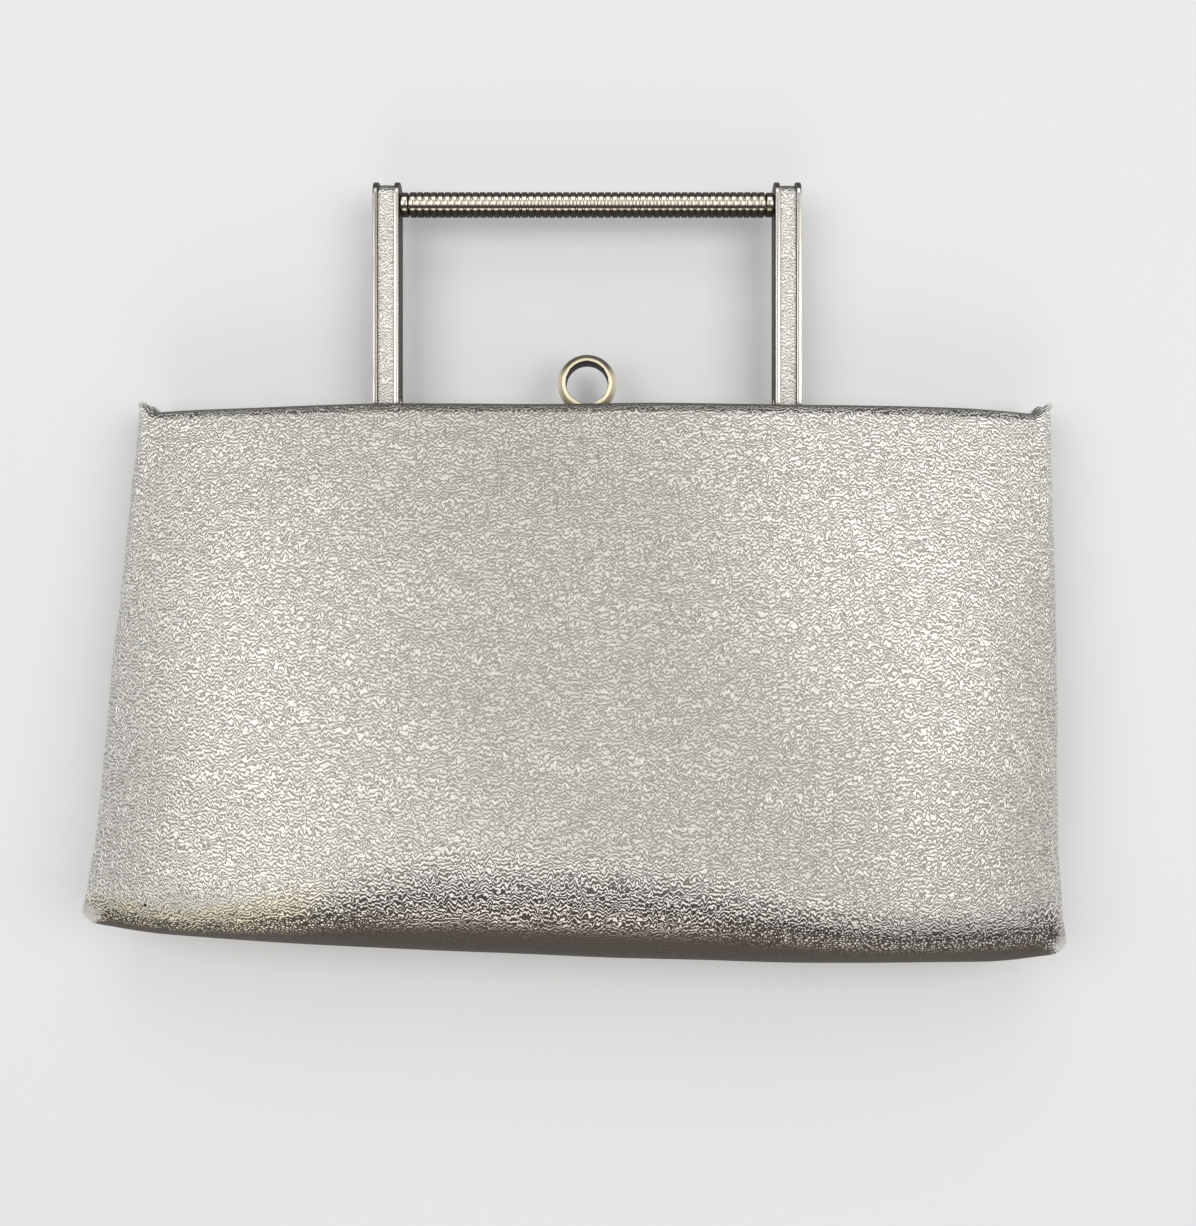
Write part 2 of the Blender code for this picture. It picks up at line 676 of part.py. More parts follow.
def handle_arm(name, centre_x, mirror):
    """Two round-ended plates on a core, forked at the lug and bored for the pins."""
    end_y = PIVOT_Y + ARM_REACH - ARM_DEPTH / 2
    inner = centre_x - mirror * ARM_WIDTH / 2
    outer = centre_x + mirror * ARM_WIDTH / 2
    plate = stadium(PIVOT_Y, end_y, ARM_DEPTH / 2)
    start, end = sorted((inner, inner + mirror * ARM_PLATE))
    arm = prism(name, plate, "X", start, end, "champagne_metal")
    start, end = sorted((outer, outer - mirror * ARM_PLATE))
    combine(arm, prism(name + "_outer", plate, "X", start, end, "champagne_metal"), "UNION")
    half = ARM_WIDTH / 2 - ARM_PLATE / 2
    foot = PIVOT_Y + LUG_RADIUS + 2 * GAP
    core = [(foot, MOUTH_Z - CORE_DEPTH / 2)]
    core += arc((end_y, MOUTH_Z), CORE_DEPTH / 2, -90, 90, 9)
    core.append((foot, MOUTH_Z + CORE_DEPTH / 2))
    combine(arm, prism(name + "_core", core, "X", centre_x - half, centre_x + half,
                       "champagne_metal"), "UNION")
    bore = rod(name + "_pin_bore", "X", (0, PIVOT_Y, MOUTH_Z), PIVOT_PIN_RADIUS + GAP,
               centre_x - ARM_WIDTH / 2 - OVERRUN, centre_x + ARM_WIDTH / 2 + OVERRUN,
               "champagne_metal")
    combine(arm, bore, "DIFFERENCE")
    seat = inner + mirror * (ARM_PLATE + ROD_SEAT + GAP)
    start, end = sorted((inner - mirror * OVERRUN, seat))
    socket = rod(name + "_rod_socket", "X", (0, CROSSBAR_Y, MOUTH_Z), ROD_RADIUS + GAP,
                 start, end, "champagne_metal")
    combine(arm, socket, "DIFFERENCE")
    return arm


def arm_inlay(name, centre_x):
    """A leather strip up the front of an arm, over its end and down the back."""
    end_y = PIVOT_Y + ARM_REACH - ARM_DEPTH / 2
    inner = CORE_DEPTH / 2 + GAP
    outer = inner + INLAY
    front_foot = PIVOT_Y - INLAY_TUCK
    back_foot = PIVOT_Y + ARM_DEPTH / 2
    outline = [(back_foot, MOUTH_Z - outer)]
    outline += arc((end_y, MOUTH_Z), outer, -90, 90, 9)
    outline += [(front_foot, MOUTH_Z + outer), (front_foot, MOUTH_Z + inner)]
    outline += arc((end_y, MOUTH_Z), inner, 90, -90, 9)
    outline.append((back_foot, MOUTH_Z - inner))
    half = ARM_WIDTH / 2 - ARM_PLATE - GAP
    return prism(name, outline, "X", centre_x - half, centre_x + half, "metallic_leather")


def crossbar():
    """A rod in both arms, a ring-turned sleeve on it, and a collar at each end."""
    centre = (0, CROSSBAR_Y, MOUTH_Z)
    reach = ARM_INNER_X + ARM_PLATE + ROD_SEAT
    rod_piece = rod("crossbar_rod", "X", centre, ROD_RADIUS, -reach, reach, "champagne_metal")
    collar_out = ARM_INNER_X - GAP
    collar_in = collar_out - FERRULE_LENGTH
    bore = ROD_RADIUS + GAP
    collars = []
    for mirror, label in ((-1, "left"), (1, "right")):
        ease = FERRULE_LENGTH / 6
        profile = [(bore, collar_in), (FERRULE_RADIUS - ease, collar_in),
                   (FERRULE_RADIUS, collar_in + ease), (FERRULE_RADIUS, collar_out - ease),
                   (FERRULE_RADIUS - ease, collar_out), (bore, collar_out)]
        profile = [(radius, mirror * along) for radius, along in profile]
        collars.append(turned(label + "_ferrule", profile, "X", centre, "champagne_metal",
                              SLEEVE_ROUND, closed=True))
    half = collar_in - GAP
    count = round(2 * half / RIB_PITCH)
    pitch = 2 * half / count
    groove = pitch * GROOVE_SHARE
    profile = [(bore, -half)]
    for index in range(count):
        start = -half + index * pitch
        profile.append((SLEEVE_RADIUS - RIB_GROOVE, start))
        profile.append((SLEEVE_RADIUS, start + groove / 2))
        profile.append((SLEEVE_RADIUS, start + pitch - groove / 2))
    profile += [(SLEEVE_RADIUS - RIB_GROOVE, half), (bore, half)]
    sleeve = turned("crossbar_sleeve", profile, "X", centre, "champagne_metal",
                    SLEEVE_ROUND, closed=True)
    return [rod_piece, sleeve] + collars


def handle(back_rail):
    """The flip handle with its lugs and pivot pins."""
    moving = crossbar()
    half = ARM_WIDTH / 2 - GAP / 2
    for mirror, label in ((-1, "left"), (1, "right")):
        centre_x = mirror * ARM_SPACING / 2
        handle_lug(label + "_handle_lug", centre_x, back_rail)
        moving.append(handle_arm(label + "_arm", centre_x, mirror))
        moving.append(arm_inlay(label + "_arm_inlay", centre_x))
        moving.append(rod(label + "_pivot_pin", "X", (0, PIVOT_Y, MOUTH_Z), PIVOT_PIN_RADIUS,
                          centre_x - half, centre_x + half, "champagne_metal"))
    hold(moving, "handle_axis", (0, PIVOT_Y, MOUTH_Z))


def clasp_ring():
    """The finger ring, with a straight bore and a rounded outside."""
    half = RING_DEPTH / 2
    shoulder = RING_BORE_RADIUS + RING_BEAD
    profile = [(RING_BORE_RADIUS, -half + RING_BEAD)]
    for angle in spread(-90, 90, 9):
        bulge = (RING_RADIUS - shoulder) * cos(radians(angle))
        profile.append((shoulder + bulge, half * sin(radians(angle))))
    profile.append((RING_BORE_RADIUS, half - RING_BEAD))
    return turned("clasp_ring", profile, "Z", (0, RING_Y, MOUTH_Z), "champagne_metal",
                  28, closed=True)


def eye_angle(offset):
    """Angle on the lever's eye, in degrees, at a height above its pin."""
    return math.degrees(math.acos(offset / LEVER_EYE_RADIUS))


def clasp_lever():
    """A stem under the ring, a pivot eye, and a hook that reaches the catch."""
    half = LEVER_SHEET / 2
    stem_top = RING_Y - RING_RADIUS - GAP
    side = math.degrees(math.asin(half / LEVER_EYE_RADIUS))
    hook_low = HOOK_ABOVE - HOOK_SHEET
    hook_back = MOUTH_Z - MATING - RAIL_SHEET - GAP - RAIL_SHEET - GAP
    tip_back = hook_back - HOOK_TIP
    outline = [(stem_top, LEVER_Z - half)]
    outline += arc((CLASP_Y, LEVER_Z), LEVER_EYE_RADIUS, -side, -eye_angle(HOOK_ABOVE), 5)
    outline += [(CLASP_Y + HOOK_ABOVE, tip_back), (CLASP_Y + hook_low - HOOK_LIP, tip_back),
                (CLASP_Y + hook_low - HOOK_LIP, hook_back), (CLASP_Y + hook_low, hook_back)]
    outline += arc((CLASP_Y, LEVER_Z), LEVER_EYE_RADIUS, -eye_angle(hook_low), -360 + side, 12)
    outline.append((stem_top, LEVER_Z + half))
    lever = prism("clasp_lever", outline, "X", -LEVER_WIDTH / 2, LEVER_WIDTH / 2,
                  "champagne_metal")
    bore = rod("lever_bore", "X", (0, CLASP_Y, LEVER_Z), CLASP_PIN_RADIUS + GAP,
               -LEVER_WIDTH, LEVER_WIDTH, "champagne_metal")
    combine(lever, bore, "DIFFERENCE")


def clasp_bracket():
    """A sheet bracket on the front rail, with two ears for the lever's pin."""
    low_z = MOUTH_Z + MATING + RAIL_SHEET + GAP
    high_z = low_z + BRACKET_SHEET
    foot = RAIL_TOP - RAIL_HEIGHT + RAIL_SHEET
    slot_y = CLASP_Y - LEVER_EYE_RADIUS - WINDOW_CLEARANCE
    top = RAIL_TOP - RAIL_SHEET - GAP
    slot = LEVER_WIDTH / 2 + GAP
    outline = [(-BRACKET_HALF, foot), (BRACKET_HALF, foot), (BRACKET_HALF, top), (slot, top),
               (slot, slot_y), (-slot, slot_y), (-slot, top), (-BRACKET_HALF, top)]
    bracket = prism("clasp_bracket", outline, "Z", low_z, high_z, "frame_metal")
    ear_z = high_z + BRACKET_EAR_RISE
    for mirror, label in ((-1, "left"), (1, "right")):
        start, end = sorted((mirror * slot, mirror * (slot + BRACKET_EAR)))
        ear = block(label + "_bracket_ear", (start, slot_y + GAP, low_z + BRACKET_SHEET / 2),
                    (end, CLASP_Y + LEVER_EYE_RADIUS, ear_z), "frame_metal")
        combine(bracket, ear, "UNION")
    reach = slot + BRACKET_EAR + GAP
    bore = rod("bracket_bore", "X", (0, CLASP_Y, LEVER_Z), CLASP_PIN_RADIUS + GAP,
               -reach, reach, "frame_metal")
    combine(bracket, bore, "DIFFERENCE")
    rod("clasp_pin", "X", (0, CLASP_Y, LEVER_Z), CLASP_PIN_RADIUS, -reach + GAP, reach - GAP,
        "spring_steel")
    return slot_y


def strip_outline(points, thickness):
    """A closed outline for a sheet of some thickness along a line of points."""
    left, right = [], []
    for index, point in enumerate(points):
        before = Vector(points[max(index - 1, 0)])
        after = Vector(points[min(index + 1, len(points) - 1)])
        along = (after - before).normalized()
        across = Vector((-along.y, along.x)) * thickness / 2
        left.append(Vector(point) + across)
        right.append(Vector(point) - across)
    return [tuple(point) for point in left + right[::-1]]


def clasp_spring(slot_y):
    """A bowed leaf from the bracket's foot to the front of the lever's stem."""
    clear = GAP + SPRING_SHEET / 2
    foot_z = MOUTH_Z + MATING + RAIL_SHEET + GAP + BRACKET_SHEET + clear
    foot_y = RAIL_TOP - RAIL_HEIGHT + RAIL_SHEET + SPRING_SHEET
    bow_z = LEVER_Z + LEVER_EYE_RADIUS + 2 * clear
    touch_z = LEVER_Z + LEVER_SHEET / 2 + clear
    points = [(foot_y, foot_z), (slot_y, foot_z), (CLASP_Y - LEVER_EYE_RADIUS / 2, bow_z),
              (CLASP_Y + LEVER_EYE_RADIUS / 2, bow_z),
              (CLASP_Y + LEVER_EYE_RADIUS * SPRING_REACH_SHARE, touch_z)]
    return prism("clasp_spring", strip_outline(points, SPRING_SHEET), "X",
                 -SPRING_WIDTH / 2, SPRING_WIDTH / 2, "spring_steel")


def catch_plate():
    """A plate behind the back rail whose sill holds the hook."""
    front = MOUTH_Z - MATING - RAIL_SHEET - GAP
    back = front - RAIL_SHEET
    low = RAIL_TOP - RAIL_HEIGHT + RAIL_SHEET
    high = RAIL_TOP - RAIL_SHEET - GAP
    outline = [(-CATCH_HALF, low), (CATCH_HALF, low), (CATCH_HALF, high), (-CATCH_HALF, high)]
    plate = prism("catch_plate", outline, "Z", back, front, "frame_metal")
    sill = CLASP_Y + HOOK_ABOVE - HOOK_SHEET - GAP
    tool = window("catch_opening", LEVER_WIDTH / 2 + WINDOW_CLEARANCE, sill,
                  CLASP_Y + LEVER_EYE_RADIUS + WINDOW_CLEARANCE, back - OVERRUN,
                  front + GAP / 2)
    combine(plate, tool, "DIFFERENCE")


def main():
    clear_scene()
    leather_panels()
    gussets()
    boards_and_lining()
    handle(frame_pieces())
    clasp_ring()
    clasp_lever()
    clasp_spring(clasp_bracket())
    catch_plate()
    names = bpy.data.objects
    hold([names["clasp_ring"], names["clasp_lever"]], "clasp_axis", (0, CLASP_Y, LEVER_Z))
    front = ["front_panel_upper", "front_rail", "clasp_bracket", "clasp_pin", "clasp_spring"]
    hold([names[name] for name in front], "frame_axis", (0, HINGE_Y, MOUTH_Z))


main()
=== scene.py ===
# %% [markdown]
# # A framed evening clutch in metallic leather
#
# The real bag is a flat clutch of crinkled champagne-silver leather, stretched over a
# hinged metal frame. A handle with a ribbed bar flips up behind the top edge, and a ring
# pulls the clasp open. Here it lies on its back and is seen from straight above.
#
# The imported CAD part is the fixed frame. It holds every place and size. This lesson
# dresses it: soft leather as one curved surface, turned metal, a lining, and finishes.

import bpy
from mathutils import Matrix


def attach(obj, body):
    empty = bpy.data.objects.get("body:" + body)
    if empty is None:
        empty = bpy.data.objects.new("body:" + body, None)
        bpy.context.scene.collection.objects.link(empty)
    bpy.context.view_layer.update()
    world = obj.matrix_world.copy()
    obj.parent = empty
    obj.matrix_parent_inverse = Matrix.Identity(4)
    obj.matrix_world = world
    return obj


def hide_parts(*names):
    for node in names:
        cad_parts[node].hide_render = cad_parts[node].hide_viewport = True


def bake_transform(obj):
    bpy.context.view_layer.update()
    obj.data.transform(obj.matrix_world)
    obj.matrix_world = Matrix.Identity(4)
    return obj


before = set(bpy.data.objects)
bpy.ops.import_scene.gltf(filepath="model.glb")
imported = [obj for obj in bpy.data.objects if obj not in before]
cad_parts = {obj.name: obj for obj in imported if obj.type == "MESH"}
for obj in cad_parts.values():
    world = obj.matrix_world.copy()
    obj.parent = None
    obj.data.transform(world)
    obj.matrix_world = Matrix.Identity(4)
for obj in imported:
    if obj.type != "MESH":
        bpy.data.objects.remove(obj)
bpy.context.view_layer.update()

from math import atan, atan2, copysign, cos, degrees, pi, radians, sin

import bmesh
import bpy
from mathutils import Vector, noise

# %% [markdown]
# ## Sizes
# These are the part's own sizes in metres, named as its maker names them. The soft body
# is narrower at the top than at the base, thicker at the base than at the mouth, and
# pinched at its four corners. A place round the bag is a value of v, which the section
# of the bag explains further down.

# %% Sizes of the bag
HALF_WIDTH_BOTTOM, HALF_WIDTH_TOP = 0.1212, 0.11685
LEAN_BOTTOM, LEAN_TOP = -0.0034, 0.0022
TOP_Y, BASE_Y = 0.0685, -0.0717
TOP_CROWN, BASE_BOW, BASE_SKEW = 0.0024, 0.0022, 0.00418
BASE_LIFT, BASE_LIFT_START, BASE_LIFT_POWER = 0.00086, 0.85, 1.5
DEPTH_BOTTOM, DEPTH_TOP = 0.0400, 0.0240
SEAM_DEPTH_BOTTOM, SEAM_DEPTH_TOP, SEAM_RISE = 0.0220, 0.0130, 0.0050
TOP_ROLL, SEAM_TOP_ROLL, MOUTH_DIP = 0.0050, 0.0030, 0.0013
FRONT_FALL_POWER, SEAM_POWER, CROWN_POWER, FLAT_SHARE = 1.6, 2.5, 3, 0.55
TIP_RISE, TIP_START, TIP_FULL = 0.0032, 0.966, 0.993
# The pinched corners, first at the base and then at the top: their v, how far they
# spread round it, and how far they stand out.
TIP_PLACES, TIP_SPREADS, TIP_OUTS = (3.80, 5.9), (0.34, 0.95), (0.0027, 0.0008)
LEATHER, GUSSET, LINING, GAP = 0.0015, 0.0010, 0.0006, 0.0003
LINING_DEPTH = 0.0033
MOUTH_Z, RAIL_TOP, FRAME_HALF, HINGE_Y = 0.0120, 0.0654, 0.1085, 0.0213
RAIL_HEIGHT = 0.0100
ARM_X, ARM_WIDTH, ARM_DEPTH, ARM_PLATE = 0.0520, 0.0068, 0.0080, 0.0013
PIVOT_Y, ARM_REACH, CORE_DEPTH = 0.0700, 0.0571, 0.0044
CROSSBAR_Y, SLEEVE_HALF, SLEEVE_RADIUS = 0.1214, 0.0462, 0.0032
ROD_BORE, FERRULE_IN, FERRULE_OUT, FERRULE_RADIUS = 0.0015, 0.0465, 0.0483, 0.0031
RING_Y, RING_RADIUS, RING_BORE, RING_DEPTH = 0.0745, 0.00765, 0.00545, 0.0080
print("Body in millimetres:", round(2000 * HALF_WIDTH_BOTTOM, 1), "wide at the base and",
      round(1000 * (TOP_Y - BASE_Y), 1), "high")

# %% [markdown]
# ## The camera
# The photograph looks straight down. Its distance isn't known, so 350 mm above the table
# is an estimate, and the lens follows from the size of the bag in the picture. It stays a
# plain camera with no shift.

# %% Camera
CAMERA_PLACE = (0.00283, 0.0150, 0.350)
PHOTO_HEIGHT, FOCUS_PIXELS, SENSOR = 1226, 1296, 36.0
NEAREST, FARTHEST = 0.01, 50


def add_camera():
    """A camera straight above, with the photograph's field of view."""
    data = bpy.data.cameras.new("photo_camera")
    data.sensor_width = SENSOR
    data.lens = FOCUS_PIXELS / PHOTO_HEIGHT * SENSOR
    data.clip_start, data.clip_end = NEAREST, FARTHEST
    camera = bpy.data.objects.new("photo_camera", data)
    camera.location = CAMERA_PLACE
    bpy.context.scene.collection.objects.link(camera)
    bpy.context.scene.camera = camera
    print("Lens in millimetres:", round(data.lens, 2))


add_camera()

# %% [markdown]
# ## The soft body as a surface
# A stuffed clutch has no flat sides. A surface that answers "where is the leather at this
# place across (u) and round (v) the bag" is the shortest way to one continuous front, a
# back, side walls and a lining that all fit each other. u runs from -1 to 1, and v counts
# the stretches of the section: back lip, top roll, flat back, base roll, front, top roll
# and front lip.

# %% The section of the bag
LAST_V, NORMAL_STEP = 7, 0.01


def mix(start, end, share):
    """A share of the way from start to end."""
    return start + (end - start) * share


def steps(start, end, count):
    """Evenly spaced values from start to end, both included."""
    return [mix(start, end, index / (count - 1)) for index in range(count)]


def smooth(value):
    """0 below 0, 1 above 1, and an even curve between them."""
    value = min(1.0, max(0.0, value))
    return value * value * (3 - 2 * value)


def climb(value, start, run):
    """The same curve, from 0 at a start to 1 after a run."""
    return smooth((value - start) / run)


def seam_share(u):
    """How much a column belongs to the pinched side seams."""
    return (max(0.0, abs(u) - FLAT_SHARE) / (1 - FLAT_SHARE)) ** SEAM_POWER


def tip_share(u):
    """How much a column belongs to the corners' tips."""
    return climb(abs(u), TIP_START, TIP_FULL - TIP_START)


def corner_out(v):
    """How far the pinched corners stand out at a place round the section."""
    return max(out * max(0.0, 1 - abs(v - place) / reach)
               for place, reach, out in zip(TIP_PLACES, TIP_SPREADS, TIP_OUTS))


def section_sizes(u):
    """Lift off the table, both depths, the top roll, and the top and base at a column."""
    share = seam_share(u)
    deep = mix(DEPTH_BOTTOM, SEAM_DEPTH_BOTTOM, share)
    thin = mix(DEPTH_TOP, SEAM_DEPTH_TOP, share)
    roll = mix(TOP_ROLL, SEAM_TOP_ROLL, share)
    top = TOP_Y - TOP_CROWN * abs(u) ** CROWN_POWER + TIP_RISE * tip_share(u)
    lift = max(0.0, abs(u) - BASE_LIFT_START) / (1 - BASE_LIFT_START)
    base = BASE_Y + BASE_BOW * u * u + BASE_LIFT * lift ** BASE_LIFT_POWER
    return SEAM_RISE * share, deep, thin, roll, top, base


def section_point(u, v):
    """Height and depth of the leather's outside, one stretch of the section at a time."""
    back, deep, thin, roll, top, base = section_sizes(u)
    turn = deep / 2
    turn_y = base + turn
    slope = atan(FRONT_FALL_POWER * (deep - thin) / (top - turn_y))
    crest = back + thin - roll
    stretch = min(int(v), LAST_V - 1)
    t = v - stretch
    quarter = t * pi / 2
    if stretch == 0:
        return top - MOUTH_DIP * (1 - sin(quarter)), mix(MOUTH_Z - GAP / 2, back + roll, t)
    if stretch == 1:
        return top - roll + roll * cos(quarter), back + roll - roll * sin(quarter)
    if stretch == 2:
        return mix(top - roll, turn_y, t), back
    if stretch == 3:
        return turn_y - turn * sin(t * pi), back + turn - turn * cos(t * pi)
    if stretch == 4:
        end_y = top - roll + roll * sin(slope)
        fall = back + deep - crest - roll * cos(slope)
        return mix(turn_y, end_y, t), back + deep - fall * t ** FRONT_FALL_POWER
    if stretch == 5:
        angle = mix(slope, pi / 2, t)
        return top - roll + roll * sin(angle), crest + roll * cos(angle)
    return top - MOUTH_DIP * (1 - cos(quarter)), mix(crest, MOUTH_Z + GAP / 2, t)


def wrap_point(u, v):
    """A point on the smooth outside of the leather."""
    y, z = section_point(u, v)
    height = (y - BASE_Y) / (TOP_Y - BASE_Y)
    half = mix(HALF_WIDTH_BOTTOM, HALF_WIDTH_TOP, height)
    lean = mix(LEAN_BOTTOM, LEAN_TOP, height)
    x = lean + u * half + copysign(tip_share(u) * corner_out(v), u)
    return Vector((x, y - BASE_SKEW * u * (1 - height), z))


def wrap_normal(u, v):
    """The direction straight out of the leather, from its neighbours."""
    step = NORMAL_STEP
    across = wrap_point(u + step, v) - wrap_point(u - step, v)
    around = wrap_point(u, min(v + step, LAST_V)) - wrap_point(u, max(v - step, 0))
    return across.cross(around).normalized()


print("Front at its middle:", [round(c, 4) for c in wrap_point(0, 4.5)])

# %% [markdown]
# ## Small ripples
# New leather is smooth, but a bag that has been carried shows low, broad dents and a few
# short folds that run in from its pinched corners. They are moved into the mesh, not
# painted, so that highlights bend over them. The noise is the same in every run.

# %% Ripples
DENT_SIZE, DENT_HEIGHT, DENT_FLATNESS, DENT_SLICE = 0.034, 0.00032, 1.4, 0.3
FOLD_SIZE, FOLD_HEIGHT, FOLD_FLATNESS, FOLD_SLICE = 0.0075, 0.00030, 1.1, 4.0
FOLD_LENGTH_SHARE, FOLD_START, FOLD_RUN = 0.35, 0.72, 0.28
CALM_LIP, CALM_START, CALM_RUN = 0.9, 3, 0.5


def ripple(point, u, v):
    """How far the leather stands proud of its smooth surface at a point."""
    place = Vector((point.x, point.y * DENT_FLATNESS, DENT_SLICE))
    dents = noise.noise(place / DENT_SIZE) * DENT_HEIGHT
    across = point.x * FOLD_LENGTH_SHARE + copysign(point.y, u) * FOLD_LENGTH_SHARE
    along = Vector((across, point.y * FOLD_FLATNESS, FOLD_SLICE))
    reach = climb(abs(u), FOLD_START, FOLD_RUN)
    folds = noise.noise(along / FOLD_SIZE) * FOLD_HEIGHT * reach
    calm = smooth((LAST_V - v) / CALM_LIP) * climb(v, CALM_START, CALM_RUN)
    return (dents + folds) * calm


print("Ripples in millimetres, from left to right:",
      [round(1000 * ripple(wrap_point(u, 4.5), u, 4.5), 3) for u in (-0.9, 0.0, 0.9)])

# %% [markdown]
# ## A sheet with turned edges
# Cut leather on a good bag never shows a raw square edge. Each soft piece is a grid of
# points with a wall behind it and a half-round rim between the two. One function makes
# them all: it pulls the wall out of the grid's normals and closes the shape.

# %% Sheet maker
RIM_ANGLES, SHARP_ANGLE = (50, 0, -50), 40


def grid_normals(rows):
    """The outward direction at each point of a grid, from its neighbours."""
    last_row, last_column = len(rows) - 1, len(rows[0]) - 1
    normals = []
    for i, row in enumerate(rows):
        line = []
        for j in range(len(row)):
            across = row[min(j + 1, last_column)] - row[max(j - 1, 0)]
            around = rows[min(i + 1, last_row)][j] - rows[max(i - 1, 0)][j]
            line.append(across.cross(around).normalized())
        normals.append(line)
    return normals


def rim_places(row_count, column_count):
    """The grid's border, once round."""
    places = [(0, j) for j in range(column_count)]
    places += [(i, column_count - 1) for i in range(1, row_count)]
    places += [(row_count - 1, j) for j in range(column_count - 2, -1, -1)]
    return places + [(i, 0) for i in range(row_count - 2, 0, -1)]


def add_sheet(bm, rows, thickness, inside_slot=0):
    """Add a closed sheet to a bmesh and return its vertices with their grid places."""
    normals = grid_normals(rows)
    row_count, column_count = len(rows), len(rows[0])
    front = [[bm.verts.new(p) for p in row] for row in rows]
    behind = [[bm.verts.new(p - n * thickness) for p, n in zip(row, line)]
              for row, line in zip(rows, normals)]
    places = [(vert, i, j) for grid in (front, behind)
              for i, row in enumerate(grid) for j, vert in enumerate(row)]
    rim, half = rim_places(row_count, column_count), thickness / 2
    loops = [[front[i][j] for i, j in rim]]
    for turn in map(radians, RIM_ANGLES):
        loop = []
        for i, j in rim:
            inner = rows[min(max(i, 1), row_count - 2)][min(max(j, 1), column_count - 2)]
            normal = normals[i][j]
            out = rows[i][j] - inner
            out = (out - normal * out.dot(normal)).normalized()
            middle = rows[i][j] - normal * half
            vert = bm.verts.new(middle + (out * cos(turn) + normal * sin(turn)) * half)
            places.append((vert, i, j))
            loop.append(vert)
        loops.append(loop)
    loops.append([behind[i][j] for i, j in rim])
    for i in range(row_count - 1):
        for j in range(column_count - 1):
            bm.faces.new((front[i][j], front[i][j + 1], front[i + 1][j + 1], front[i + 1][j]))
            face = bm.faces.new((behind[i][j], behind[i + 1][j],
                                 behind[i + 1][j + 1], behind[i][j + 1]))
            face.material_index = inside_slot
    for here, there in zip(loops, loops[1:]):
        for k in range(len(here)):
            after = (k + 1) % len(here)
            bm.faces.new((here[k], there[k], there[after], here[after]))
    return places


def keep_sharp(mesh, angle=SHARP_ANGLE):
    """Smooth shading, except over edges that turn by more than an angle in degrees."""
    mesh.shade_smooth()
    mesh.set_sharp_from_angle(angle=radians(angle))


def finished(name, bm, materials, sharp_angle=SHARP_ANGLE):
    """Close a bmesh into a named object at the origin, with its materials."""
    bmesh.ops.recalc_face_normals(bm, faces=bm.faces)
    mesh = bpy.data.meshes.new(name)
    bm.to_mesh(mesh)
    bm.free()
    keep_sharp(mesh, sharp_angle)
    for material in materials:
        mesh.materials.append(material)
    piece = bpy.data.objects.new(name, mesh)
    bpy.context.scene.collection.objects.link(piece)
    print(name, "has", len(mesh.polygons), "faces")
    return piece


def runs_down(rows, start=0):
    """How far each point of a grid lies along its column, counted from one row."""
    sums = [[0.0] * len(rows[0])]
    for before, row in zip(rows, rows[1:]):
        sums.append([run + (b - a).length for run, a, b in zip(sums[-1], before, row)])
    return [[run - zero for run, zero in zip(line, sums[start])] for line in sums]


def add_mark(piece, name, values):
    """Store one number per vertex for the materials to read."""
    attribute = piece.data.attributes.new(name, "FLOAT", "POINT")
    attribute.data.foreach_set("value", values)


# %% [markdown]
# ## Writing nodes as sums
# A finish is a graph of nodes, but it reads best as arithmetic. A small class wraps one
# number socket, so that an expression such as `1 - crease * 0.5` adds the Math nodes
# itself. Every other node comes from one method, in finishes and in Geometry Nodes alike.

# %% Node maker
FILM_ROUGHNESS, FILM_SHINE = 0.55, 0.2


class Number:
    """A number socket in a graph. Arithmetic on it adds Math nodes."""

    def __init__(self, graph, socket):
        self.graph, self.socket = graph, socket

    def maths(self, operation, *numbers):
        """A Math node of any kind, on numbers or values."""
        settings = {"operation": operation}
        return self.graph.number("ShaderNodeMath", settings, dict(enumerate(numbers)))

    def __add__(self, other):
        return self.maths("ADD", self, other)

    def __sub__(self, other):
        return self.maths("SUBTRACT", self, other)

    def __rsub__(self, other):
        return self.maths("SUBTRACT", other, self)

    def __mul__(self, other):
        return self.maths("MULTIPLY", self, other)

    def __abs__(self):
        return self.maths("ABSOLUTE", self)

    __radd__, __rmul__ = __add__, __mul__

    def ramp(self, low, high):
        """0 at low, 1 at high, with an even curve between; low may be the larger."""
        settings = {"interpolation_type": "SMOOTHSTEP"}
        inputs = {"Value": self, "From Min": min(low, high), "From Max": max(low, high)}
        found = self.graph.number("ShaderNodeMapRange", settings, inputs)
        return 1 - found if low > high else found


class Graph:
    """A node tree whose nodes come from one method."""

    def __init__(self, tree):
        self.tree = tree

    def node(self, kind, settings=None, inputs=None):
        """Any node: its settings first, then the values or links of its sockets."""
        made = self.tree.nodes.new(kind)
        for key, value in (settings or {}).items():
            setattr(made, key, value)
        for key, value in (inputs or {}).items():
            self.feed(made.inputs[key], value)
        return made

    def feed(self, socket, value):
        """Link a number or a socket into a socket, or set its plain value."""
        source = value.socket if isinstance(value, Number) else value
        if isinstance(source, bpy.types.NodeSocket):
            self.tree.links.new(source, socket)
        else:
            socket.default_value = source

    def out(self, kind, settings=None, inputs=None, output=0):
        """One output of a new node, for a colour, a vector or a shape."""
        return self.node(kind, settings, inputs).outputs[output]

    def number(self, kind, settings=None, inputs=None, output=0):
        """One output of a new node, as a number to reckon with."""
        return Number(self, self.out(kind, settings, inputs, output))


